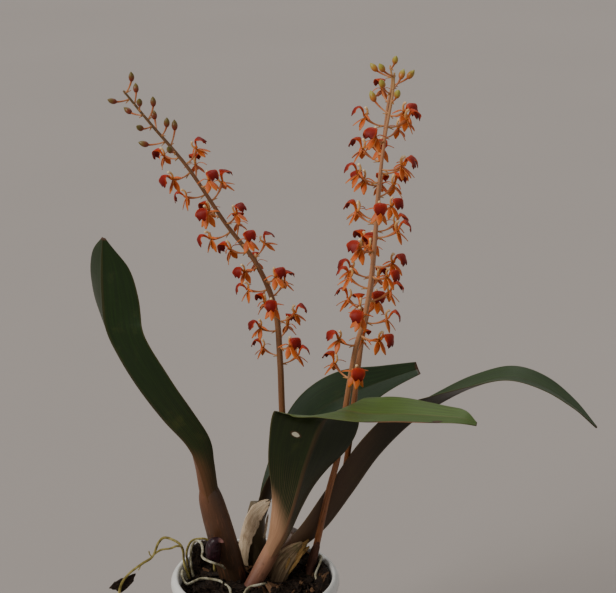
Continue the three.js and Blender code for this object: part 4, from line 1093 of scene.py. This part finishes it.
def stalk_skin(reach, rise, sag, ovary):
    points = [(-0.8, 0, -0.2), (reach * 0.3, 0, rise * 0.25 - sag), (reach * 0.65, 0, rise * 0.6 - sag),
              (reach, 0, rise)]

    def radius_at(t, angle):
        return 0.5 + ovary * smoothstep(t, 0.5, 0.95) * (1 + 0.15 * math.cos(3 * angle + 4 * t))
    return rod(through(points), radius_at, STALK_SIDES, STALK_STEPS, (0, 0, 1), 0.1)


def flower_shape(rng):
    """One open flower; rng varies how far its parts are bent."""
    bend = rng.uniform(-0.5, 0.5)
    open_ = rng.uniform(0.9, 1.12)
    twist = rng.uniform(-0.6, 0.6)
    skins = [organ(stalk_skin(PEDICEL_OUT, PEDICEL_RISE, 1.2, 0.42), STALK)]
    skins.append(organ(blade([
        ((1.2, 0.2, -0.8), (-0.4, 0, 1), 1.1, 0.3, 0.9, 0.45),
        ((2.6, 0.2, -1.1), (0.1, 0, 1), 0.9, 0.3, 0.9, 0.4),
        ((4.6, 0.1, -1.7), (0.3, 0, 1), 0.25, 0.3, 0.5, 0.3)], BRACT_REACHES, ORGAN_STEPS, 0.3), BRACT))
    sepals = [
        [((0.3, -0.4, 0), 1), ((1.8, -1.4, 0.2), 1.5), ((4.2, -3.3 + bend, 0), 1.7),
         ((6.1, -5.5 + bend, twist), 0.3)],
        [((0.2, -0.4, 0.5), 1), ((0.6, -1.6, 1.4), 1.5), ((1.5, -4, 2.8), 1.75),
         ((2.3, -6.8 + bend, 4.2 * open_), 0.35)],
        [((0.2, -0.4, -0.5), 1), ((0.6, -1.6, -1.4), 1.5), ((1.5, -4, -2.8), 1.75),
         ((2.3, -6.8 - bend, -4.2 * open_), 0.35)],
    ]
    for rows in sepals:
        aside = rows[-1][0][2]
        table = [(from_heart(*place), (0.7, aside * 0.12, 0.7), half, 0.15, -0.55, 0.45)
                 for place, half in rows]
        skins.append(organ(blade(table, SEPAL_REACHES, ORGAN_STEPS, ORGAN_EDGE), SEPAL))
    for hand in (1, -1):
        rows = [((-0.2, 0.2, 0.5 * hand), 0.5), ((-0.5, 1.5, 2.4 * hand), 0.6),
                ((-1.4, 1.4 + bend, 4.8 * hand), 0.65), ((-2.6, 0.3 + bend, 6.9 * hand), 0.3)]
        table = [(from_heart(*place), (0.3, 0, 1), half, 0.1, 0.3, 0.4) for place, half in rows]
        skins.append(organ(blade(table, PETAL_REACHES, ORGAN_STEPS, ORGAN_EDGE), PETAL))
    lip = [
        ((0.4, 0.5, 0), (0.9, 0, -0.3), 0.8, 0.3, 0.7, 0.7),
        ((0.8, 2.6, 0), (0.95, 0, -0.1), 0.9, 0.4, 0.8, 0.7),
        ((1.6, 4.8, 0), (0.8, 0, -0.6), 1.6, 0.2, 0.4, 0.6),
        ((3.4, 6 + 0.2 * bend, 0), (0.2, 0, -1), 3.1, 0.05, 0.2, 0.5),
        ((5.6, 5 + 0.2 * bend, 0), (-0.5, 0, -0.85), 3.9, 0.05, 0.3, 0.5),
        ((7, 2.8 + 0.4 * bend, 0), (-0.85, 0, -0.5), 3.8, 0.05, 0.3, 0.45),
        ((7.6, 0.4 + 0.6 * bend, 0), (-1, 0, -0.2), 2.8, 0.05, 0.4, 0.4),
    ]
    table = [(from_heart(*row[0]), *row[1:]) for row in lip]
    fan = blade(table, LIP_REACHES, ORGAN_STEPS, ORGAN_EDGE, wave=1.8)
    skins.append(organ(notched(fan), LIP))
    for hand in (1, -1):
        callus = [from_heart(0.9, 2.2, 0.45 * hand), from_heart(1.6, 3.5, 0.5 * hand),
                  from_heart(2.3, 4.5, 0.55 * hand)]
        skins.append(organ(rod(through(callus), callus_radius, CALLUS_SIDES, ORGAN_STEPS, dome=0.2), LIP))
    column = [(-0.3, 0.3), (-1.1, 2.1), (-1.2, 3.8), (-0.5, 5.1), (0.4, 5.6)]
    column = through([from_heart(out, rise, 0) for out, rise in column])
    skins.append(organ(rod(column, column_radius, COLUMN_SIDES, COLUMN_STEPS, (1, 0, 0), 0.4), COLUMN))
    return skins


def callus_radius(t, angle):
    return 0.3 + 0.12 * math.sin(math.pi * t)


def column_radius(t, angle):
    """Slender, with a wider hooded end."""
    return 0.55 + 0.3 * smoothstep(t, 0.6, 0.85) * (1 - smoothstep(t, 0.9, 1.05)) + 0.12 * (1 - t)


def notched(skin):
    """The lip's far edge drawn in at its middle, so that it ends in two lobes."""
    places, faces, numbers = skin
    moved = []
    for place, share, along in zip(places, numbers["across"], numbers["along"]):
        notch = smoothstep(along, 0.72, 1) * math.exp(-(share / 0.28) ** 2)
        corner = smoothstep(along, 0.75, 1) * smoothstep(abs(share), 0.6, 1)
        tooth = smoothstep(along, 0.8, 1) * math.sin(share * 16) * 0.3
        moved.append(place + Vector((-0.3, 0, 1.5)) * notch + Vector((-0.2, 0, 1.3)) * corner
                     + Vector((0, 0, tooth)))
    return moved, faces, numbers


def bud_shape(youth):
    """A closed bud, smaller and on a shorter stalk towards the spike's tip."""
    reach = 10 - 3 * youth
    size = 4.1 - 0.5 * youth
    rise = reach * 0.5
    way = Vector((0.57, 0, 0.82))
    start = Vector((reach, 0, rise)) - way * 0.3
    length = size * 1.58

    def belly(t, angle):
        swell = math.sin(math.pi * min(1, 0.1 + 0.9 * t) ** 0.85) ** 0.8 if t < 1 else 0
        return max(0.14, size * 0.47 * swell * (1 + 0.05 * math.cos(3 * angle)))

    points = [start + way * length * share for share in (0, 0.35, 0.7, 1)]
    skins = [organ(stalk_skin(reach, rise, 0.35, 0.12), STALK)]
    skins.append(organ(rod(through(points), belly, BUD_SIDES, BUD_STEPS, dome=0.15), BUD))
    skins.append(organ(blade([
        ((1.0, 0.2, -0.6), (-0.4, 0, 1), 0.9, 0.3, 0.9, 0.4),
        ((2.4, 0.2, -0.6), (0.1, 0, 1), 0.7, 0.3, 0.9, 0.35),
        ((3.8, 0.1, -0.8), (0.3, 0, 1), 0.2, 0.3, 0.5, 0.3)], BRACT_REACHES, ORGAN_STEPS, 0.3), BRACT))
    return skins


def by_length(curve, parts=200):
    """Turn a share of a curve's length into its t."""
    lengths = [0.0]
    for i in range(parts):
        lengths.append(lengths[-1] + (curve((i + 1) / parts) - curve(i / parts)).length)

    def at(share):
        target = share * lengths[-1]
        i = next(k for k in range(parts) if lengths[k + 1] >= target)
        return (i + (target - lengths[i]) / (lengths[i + 1] - lengths[i])) / parts
    return at


def generator(seed):
    """A small seeded generator of numbers from 0 to 1."""
    state = seed

    def draw():
        nonlocal state
        state = (state * DRAW_FACTOR + DRAW_SHIFT) % DRAW_RANGE
        return state / DRAW_RANGE
    return draw


def flower_places(name, plan):
    """Points on a stem for its flowers and buds, with how each is turned, its size
    and its kind."""
    stem = through(plan["stem"])
    t_at = by_length(stem)
    draw = generator(plan["seed"])
    count, low, high = plan["flowers"]
    bud_count, end = plan["buds"]
    feet, turns, sizes, kinds = [], [], [], []
    for k in range(count + bud_count):
        share = low + (high - low) * k / (count - 1)
        if k >= count:
            share = high + (end - high) * (k - count + 1) / bud_count
        angle = plan["phase"] + k * GOLDEN_TURN + ANGLE_SPREAD * (2 * draw() - 1)
        size = FLOWER_SIZES[0] + (FLOWER_SIZES[1] - FLOWER_SIZES[0]) * draw()
        t = t_at(share)
        way = heading(stem, t)
        across, normal = sideways(way, Vector((0, 1, 0)))
        radial = across * math.cos(angle) + normal * math.sin(angle)
        lift = Vector((0, 0, 0.7)) + way * 0.3
        rise = (lift - radial * lift.dot(radial)).normalized()
        turn = Matrix((radial, rise.cross(radial), rise)).transposed().to_quaternion()
        feet.append(stem(t) * MM)
        turns += list(turn)
        if k < count:
            kinds.append(k * 3 % FLOWER_KINDS)
            sizes.append(size)
        else:
            youth = (k - count) / bud_count
            kinds.append(FLOWER_KINDS + min(BUD_KINDS - 1, int(youth * BUD_KINDS)))
            sizes.append(1.0)
    mesh = mesh_from(name, feet, [])
    columns = (("turn", "QUATERNION", turns), ("size", "FLOAT", sizes), ("kind", "INT", kinds))
    for label, kind, values in columns:
        mesh.attributes.new(label, kind, "POINT").data.foreach_set("value", values)
    return mesh


def kept_aside(name, meshes):
    """A collection of the shapes that a tree scatters."""
    shelf = bpy.data.collections.new(name)
    bpy.context.scene.collection.children.link(shelf)
    for number, mesh in enumerate(meshes):
        shelf.objects.link(bpy.data.objects.new(f"{name} {number:02d}", mesh))
    return shelf


def put_away(shelf):
    for helper in list(shelf.objects):
        bpy.data.objects.remove(helper)
    bpy.data.collections.remove(shelf)


def new_tree(name, inputs):
    """A tree of geometry nodes with the inputs named: the tree, what adds a node
    to it, and what it is given."""
    tree = bpy.data.node_groups.new(name, "GeometryNodeTree")
    for label, kind in inputs.items():
        tree.interface.new_socket(name=label, in_out="INPUT", socket_type="NodeSocket" + kind)
    tree.interface.new_socket(name="Result", in_out="OUTPUT", socket_type="NodeSocketGeometry")

    def add(kind, inputs, output=0, **settings):
        return add_node(tree, kind, inputs, output, **settings)
    return tree, add, tree.nodes.new("NodeGroupInput").outputs


def finished(tree, result):
    tree.links.new(result, tree.nodes.new("NodeGroupOutput").inputs[0])
    return tree


def shapes_in(add, shelf):
    return add("GeometryNodeCollectionInfo", {
        "Collection": shelf, "Separate Children": True, "Reset Children": True})


def toned(add, instances, seed):
    """Give each instance a random tone and make all of them one mesh."""
    shade = add("FunctionNodeRandomValue", {"Seed": seed}, 1)
    marked = add("GeometryNodeStoreNamedAttribute", {
        "Geometry": instances, "Name": "tone", "Value": shade}, domain="INSTANCE")
    return add("GeometryNodeRealizeInstances", {0: marked})


def grown(name, base, tree, inputs):
    """Run a tree of geometry nodes on a mesh and keep what comes out."""
    holder = placed(name, base)
    maker = holder.modifiers.new(name, "NODES")
    maker.node_group = tree
    for item in tree.interface.items_tree:
        if item.item_type == "SOCKET" and item.name in inputs:
            maker[item.identifier] = inputs[item.name]
    mesh = evaluated(holder)
    mesh.name = name
    bpy.data.objects.remove(holder)
    return mesh


def flower_tree(organs):
    """Set a flower or bud on each point, then give each organ its finish."""
    tree, add, given = new_tree("flowers on a stem", {
        "Places": "Geometry", "Shapes": "Collection", "Flower size": "Float", "Seed": "Int",
        **{label: "Material" for label in organs}})

    def named(label, kind):
        return add("GeometryNodeInputNamedAttribute", {"Name": label}, data_type=kind)
    scale = add("ShaderNodeMath", {0: named("size", "FLOAT"), 1: given["Flower size"]}, operation="MULTIPLY")
    seated = add("GeometryNodeInstanceOnPoints", {
        "Points": given["Places"], "Instance": shapes_in(add, given["Shapes"]), "Pick Instance": True,
        "Instance Index": named("kind", "INT"), "Rotation": named("turn", "QUATERNION"),
        "Scale": scale})
    result = toned(add, seated, given["Seed"])
    organ_number = named("organ", "FLOAT")
    for number, label in enumerate(organs):
        chosen = add("FunctionNodeCompare", {0: organ_number, 1: number, "Epsilon": 0.1}, operation="EQUAL")
        result = add("GeometryNodeSetMaterial", {
            "Geometry": result, "Selection": chosen, "Material": given[label]})
    return finished(tree, result)


def organ_finish(name, foot, middle, end, vein, rough):
    """Waxy flower tissue whose colour runs along the organ, with fine veins."""
    tissue = Finish(name, Specular_IOR_Level=0.28, Roughness=rough)
    across, along, tone = (tissue.attribute(label) for label in ("across", "along", "tone"))
    streak = tissue.noise(2.5, 4, 0.6, tissue.join(tissue.times(across, 6), along, tone))
    color = tissue.ramp(along, [(0.05, foot), (0.5, middle), (0.95, end)])
    color = tissue.tint(color, vein, tissue.step(streak, 0.45, 0.7), 0.55)
    # Painted highlight: a pale peach sheen along each organ's rims.
    rim_highlight = tissue.step(tissue.maths("ABSOLUTE", across), 0.7, 1.0)
    color = tissue.tint(color, rgb(244, 180, 106), rim_highlight, 0.6)
    color = tissue.tint(color, rgb(196, 118, 50), tone, 0.25)
    return tissue.paint(color, None, streak, 0.00015, 0.5)


def lip_finish(name, claw, throat, fan, end):
    """Yellow-orange claw, then deep red that darkens to the middle of the fan. Its
    margins carry a painted orange highlight.
    """
    lip = Finish(name, Specular_IOR_Level=0.22, Roughness=0.5)
    across, along, tone = (lip.attribute(label) for label in ("across", "along", "tone"))
    streak = lip.noise(3, 4, 0.6, lip.join(lip.times(across, 5), along, tone))
    color = lip.ramp(along, [(0.1, claw), (0.36, throat), (0.6, fan), (0.95, end)])
    # Painted highlight: the lip's margins are lightened to orange.
    edge = lip.step(lip.maths("ABSOLUTE", across), 0.6, 1.0)
    color = lip.tint(color, rgb(206, 84, 34), edge, 0.7)
    color = lip.tint(color, rgb(78, 6, 4), lip.step(streak, 0.5, 0.7), 0.5)
    return lip.paint(color, None, streak, 0.0002, 0.5)


def bud_finish(name, foot, end):
    """Buds that turn from red-brown at the foot to green."""
    bud = Finish(name, Specular_IOR_Level=0.45, Roughness=0.4)
    mottle = bud.noise(500, 3)
    color = bud.mix(bud.step(bud.attribute("along"), 0.1, 0.85), foot, end)
    color = bud.tint(color, rgb(120, 66, 30), bud.step(mottle, 0.5, 0.7), 0.4)
    return bud.paint(color, None, mottle, 0.0001, 0.5)


organ_colors = {
    "Stalk": (rgb(196, 146, 104), rgb(202, 134, 88), rgb(172, 84, 40), rgb(150, 84, 52), 0.45),
    "Sepal": (rgb(196, 98, 32), rgb(202, 84, 24), rgb(212, 112, 38), rgb(158, 48, 16), 0.42),
    "Petal": (rgb(206, 116, 42), rgb(210, 98, 32), rgb(204, 86, 28), rgb(176, 62, 20), 0.42),
    "Lip": None,
    "Column": (rgb(206, 122, 50), rgb(226, 178, 112), rgb(240, 218, 172), rgb(214, 160, 96), 0.4),
    "Bract": (rgb(170, 126, 78), rgb(190, 146, 92), rgb(150, 104, 62), rgb(128, 84, 48), 0.6),
    "Bud": None,
}
# For each spike: its flowers' size, the colours of their lips and those of its buds
spike_looks = {
    "left": (1.07, (rgb(214, 116, 34), rgb(196, 50, 12), rgb(136, 20, 6), rgb(112, 12, 5)),
             (rgb(128, 50, 28), rgb(108, 96, 38))),
    "front": (1.15, (rgb(220, 124, 48), rgb(202, 76, 28), rgb(156, 36, 16), rgb(112, 14, 8)),
              (rgb(184, 104, 40), rgb(166, 162, 66))),
    "rear": (1.15, (rgb(220, 124, 48), rgb(198, 72, 26), rgb(150, 32, 14), rgb(108, 14, 8)),
             (rgb(190, 112, 44), rgb(168, 160, 64))),
}
tissues = {label: organ_finish(f"{label.lower()} tissue", *colors)
           for label, colors in organ_colors.items() if colors}
flower_rng = random.Random(FLOWER_SEED)
flower_meshes = [made("flower", flower_shape(flower_rng), ORGAN_LABELS) for _ in range(FLOWER_KINDS)]
flower_meshes += [made("bud", bud_shape(kind / BUD_KINDS), ORGAN_LABELS) for kind in range(BUD_KINDS)]
flower_shelf = kept_aside("flower kinds", flower_meshes)
on_stem = flower_tree(organ_colors)
for spike_side, plan in SPIKES.items():
    flowers_name = f"flowers_{spike_side}"
    flower_size, lip_colors, bud_colors = spike_looks[spike_side]
    flower_mesh = grown(flowers_name, flower_places(flowers_name, plan), on_stem, {
        "Shapes": flower_shelf, "Flower size": flower_size, "Seed": plan["seed"],
        "Lip": lip_finish(f"{spike_side} lip tissue", *lip_colors),
        "Bud": bud_finish(f"{spike_side} bud tissue", *bud_colors), **tissues})
    as_piece(flowers_name, flower_mesh, None, "spike", f"spike_{spike_side}")
put_away(flower_shelf)

# Roots
# Wiry aerial roots in spongy skin, whitish where dry and olive where damp.

ROOTS = {
    "arch": (0.9, [(-47.5, 17.5, 94), (-49.4, 18, 104), (-50, 19.5, 112), (-47.3, 22.5, 118.4),
                   (-42.6, 23, 120.7), (-35.4, 23, 120.3), (-31.4, 22, 115), (-30.2, 20, 95)]),
    "white": (0.95, [(-45, 13, 94), (-47, 15.5, 108), (-46, 17, 117.5), (-42.9, 16.5, 122.4),
                     (-39, 13, 122.3), (-37.4, 4, 121.3), (-37, -7, 121.5), (-32, -14.6, 122.2),
                     (-26.5, -14.8, 120), (-23.6, -8.4, 115.5), (-21.8, -1.9, 110.2)]),
    "left": (1.0, [(-49.5, 9.5, 94), (-51.6, 7.8, 102), (-52.3, 4, 104.6), (-52, 0, 101.6),
                   (-48.6, -4.6, 99.2), (-43.5, -0.4, 99), (-38, 4, 99), (-27, 0.5, 99.4), (-22.5, -5, 99.8),
                   (-18, -12, 99.6), (-16.5, -18, 96)]),
    "front": (0.9, [(-9.5, -22, 94), (-6.8, -17, 99.5), (-3.5, -13.5, 101.5), (2, -13, 102.6),
                    (8, -9.5, 101.4), (12, -8.5, 94)]),
    "right": (0.9, [(44, 24, 98), (46.5, 20, 108.5), (46.5, 12, 108.5), (43, 3, 103.5),
                    (43.5, -6, 103.5), (45, -14, 98)]),
}
HANGING_ROOTS = [
    (1.0, [(-47.5, 11, 94), (-51.4, 13, 106), (-52.2, 13, 117), (-56, 15, 122), (-65, 18, 124.3),
           (-70, 19, 119.8), (-74.8, 20, 108.2), (-82.5, 20, 102.4), (-92.2, 20, 94.4),
           (-98.2, 20, 85.5), (-100.6, 20, 74)]),
    (0.8, [(-52.6, 13.8, 119.2), (-57, 15, 119), (-61.5, 16.5, 116.4), (-68.5, 19, 114),
           (-74, 20, 109.6)]),
    (0.5, [(-75.2, 20, 107.6), (-76.8, 19.6, 110.4), (-77.2, 19.2, 112.8)]),
    (0.45, [(-83.4, 20, 101.6), (-84.2, 19.6, 99.4), (-85.4, 19.4, 97.6)]),
]
ROOT_SIDES = 14
ROOT_STEPS_BETWEEN = 12


def root_skin(radius, points):
    seat = Vector(points[0])

    def radius_at(t, angle):
        swell = noise.noise(seat * 0.1 + Vector((t * 9, 0, 0))) * 0.22
        pit = noise.noise(seat + Vector((math.cos(angle), math.sin(angle), t * 30))) * 0.1
        return radius * 0.92 * (1 + swell + pit)
    steps = (len(points) - 1) * ROOT_STEPS_BETWEEN
    return rod(through(points), radius_at, ROOT_SIDES, steps, dome=0.3)


def root_finish(name, dry, damp, dark):
    root = Finish(name, Specular_IOR_Level=0.25)
    grain = root.noise(1500, 3, 0.6)
    color = root.ramp(root.noise(140, 4, 0.6), [(0.32, dark), (0.5, damp), (0.66, dry)])
    color = root.tint(color, dark, root.step(grain, 0.55, 0.7), 0.35)
    return root.paint(color, root.scaled(grain, 0.2, 0.68), grain, 0.0003, 0.8)


dry_root = root_finish("dry root", rgb(200, 198, 180), rgb(158, 152, 126), rgb(88, 80, 58))
damp_root = root_finish("damp root", rgb(172, 160, 100), rgb(132, 120, 62), rgb(70, 56, 30))
for root_name, (radius, points) in ROOTS.items():
    as_piece(f"root_{root_name}_skin", made(root_name, [root_skin(radius, points)], ROUND),
             damp_root if root_name == "arch" else dry_root, "root", f"root_{root_name}")
hanging = [root_skin(radius, points) for radius, points in HANGING_ROOTS]
as_piece("root_hanging_skin", made("hanging", hanging, ROUND), damp_root, "root", "root_hanging")

# Bark scrap
# A thin flake of old bark that the hanging root has grown on to and lifted out.

FLAKE_OUTLINE = [(-107.4, 81.5), (-103.3, 86.5), (-97, 89.5), (-87.3, 93.6), (-89.5, 87), (-94, 81.6),
                 (-98.7, 77.8), (-103.3, 79.6)]
FLAKE_FRONT = 21.4
FLAKE_THICK = 2.0
FLAKE_CORNERS = 12


def flake_ring(scale, y):
    middle = sum((Vector(corner) for corner in FLAKE_OUTLINE), Vector((0, 0))) / len(FLAKE_OUTLINE)
    ring = []
    for i, corner in enumerate(FLAKE_OUTLINE):
        after = Vector(FLAKE_OUTLINE[(i + 1) % len(FLAKE_OUTLINE)])
        for step in range(FLAKE_CORNERS):
            place = Vector(corner).lerp(after, step / FLAKE_CORNERS)
            place = middle + (place - middle) * scale
            jag = noise.noise(Vector((place.x, place.y, 3)) * 0.5) * 0.9
            rough = noise.noise(Vector((place.x, place.y, y)) * 0.8) * 0.5
            ring.append(Vector((place.x + jag, y + rough * (1 if scale < 0.97 else 0.3), place.y + jag)))
    return ring


back_y = FLAKE_FRONT + FLAKE_THICK
flake_rings = [flake_ring(scale, FLAKE_FRONT + 0.1) for scale in (0.1, 0.3, 0.5, 0.7, 0.85, 0.95)]
flake_rings += [flake_ring(1, FLAKE_FRONT + 0.5), flake_ring(1, back_y - 0.5)]
flake_rings += [flake_ring(scale, back_y) for scale in (0.95, 0.85, 0.7, 0.5, 0.3, 0.1)]
as_piece("flake", made("flake", [lofted(flake_rings)]), bark_material, "flake", "bark_flake")

# Loose bark
# Chips of all sizes on the bed, thrown by a seeded rule. None lies where a stem
# stands, and only small ones lie against the pot's wall.

LARGE_CHIPS = {
    "Spacing": 0.0058, "Shortest": 8.0, "Longest": 15.0, "Clearance": 0.004, "Tilt": 0.55}
SMALL_CHIPS = {
    "Spacing": 0.0026, "Shortest": 3.4, "Longest": 7.2, "Clearance": 0.002, "Tilt": 1.0}
CHIPS_SINK = 1.3
LARGE_REACH = 45.5
SMALL_REACH = 50.5
CHIPS_DENSITY = 200000.0
CHIP_KINDS = 7
CHIP_CUTS = 2
CHIP_SEED = 21
TOP_RINGS = 16


def chip_mesh(kind, rng):
    """One split slab of bark with broken ends, 1 mm long before it is scaled."""
    places, faces = block(CHIP_CUTS)
    wide, thick = rng.uniform(0.35, 0.75), rng.uniform(0.16, 0.34)
    slant, skew = rng.uniform(-0.5, 0.5), rng.uniform(-0.4, 0.4)
    seat = Vector((kind * 7.3, 0, 0))
    moved = []
    for place in places:
        jag = jagged(place * 2.6 + seat) * 0.16
        step = 0.2 * round(noise.noise(Vector((0, place.y * 3, kind))) * 2)
        moved.append(Vector((place.x + slant * place.y * wide + jag.x * 1.2,
                             place.y * wide + skew * place.z * thick + jag.y * 0.7,
                             place.z * thick * (1 + step) + jag.z * 0.35)))
    return made("chip", [(moved, faces, {})])


def scatter_tree():
    """Chips scattered over a surface, turned at random, clear of what stands in it."""
    tree, add, given = new_tree("bark scatter", {
        "Bed": "Geometry", "Chips": "Collection", "Standing": "Object", "Spacing": "Float",
        "Density": "Float", "Shortest": "Float", "Longest": "Float", "Clearance": "Float",
        "Tilt": "Float", "Seed": "Int", "Bark": "Material"})
    seed, tilt = given["Seed"], given["Tilt"]
    points = add("GeometryNodeDistributePointsOnFaces", {
        "Mesh": given["Bed"], "Distance Min": given["Spacing"], "Density Max": given["Density"],
        "Seed": seed}, distribute_method="POISSON")
    standing = add("GeometryNodeObjectInfo", {"Object": given["Standing"]}, "Geometry")
    away = add("GeometryNodeProximity", {0: standing}, "Distance")
    close = add("FunctionNodeCompare", {0: away, 1: given["Clearance"]}, operation="LESS_THAN")
    clear = add("GeometryNodeDeleteGeometry", {"Geometry": points, "Selection": close})
    back = add("ShaderNodeMath", {0: tilt, 1: -1}, operation="MULTIPLY")
    least = add("ShaderNodeCombineXYZ", {"X": back, "Y": back})
    most = add("ShaderNodeCombineXYZ", {"X": tilt, "Y": tilt, "Z": 2 * math.pi})
    lean = add("FunctionNodeRandomValue", {0: least, 1: most, "Seed": seed}, data_type="FLOAT_VECTOR")
    long = add("FunctionNodeRandomValue", {2: given["Shortest"], 3: given["Longest"], "Seed": seed}, 1)
    which = add("FunctionNodeRandomValue", {4: 0, 5: CHIP_KINDS - 1, "Seed": seed}, 2, data_type="INT")
    laid = add("GeometryNodeInstanceOnPoints", {
        "Points": clear, "Instance": shapes_in(add, given["Chips"]), "Pick Instance": True,
        "Instance Index": which, "Rotation": lean, "Scale": long})
    return finished(tree, add("GeometryNodeSetMaterial", {
        "Geometry": toned(add, laid, 0), "Material": given["Bark"]}))


def bark_top(name, reach):
    """The open surface that the chips lie on."""
    rings = [circle(reach * (i + 1) / TOP_RINGS, BED_SIDES, lambda x, y: bark_height(x, y) - CHIPS_SINK)
             for i in range(TOP_RINGS)]
    places = [place * MM for ring in rings for place in ring]
    return mesh_from(name, places, bands(TOP_RINGS, BED_SIDES))


def standing_mesh():
    """All that stands in the bark, in one mesh."""
    vertices, faces = [], []
    for piece in bpy.context.scene.objects:
        if piece.name.startswith(("bulb_", "sheath_", "old_", "shoot_", "stem_", "root_", "bark_lump")):
            start = len(vertices)
            vertices += [vertex.co.copy() for vertex in piece.data.vertices]
            faces += [[start + corner for corner in face.vertices] for face in piece.data.polygons]
    return mesh_from("standing", vertices, faces)


standing = placed("standing", standing_mesh())
chip_rng = random.Random(CHIP_SEED)
chip_shelf = kept_aside("chip kinds", [chip_mesh(kind, chip_rng) for kind in range(CHIP_KINDS)])
scattered = scatter_tree()
for chips_name, reach, settings in (("chips_large", LARGE_REACH, LARGE_CHIPS),
                                    ("chips_small", SMALL_REACH, SMALL_CHIPS)):
    chips = grown(chips_name, bark_top(chips_name, reach), scattered, {
        "Chips": chip_shelf, "Standing": standing, "Density": CHIPS_DENSITY, "Seed": CHIP_SEED,
        "Bark": bark_material, **settings})
    as_piece(chips_name, chips, None, "bark", "bark_mix", smooth=False)
put_away(chip_shelf)
bpy.data.objects.remove(standing)
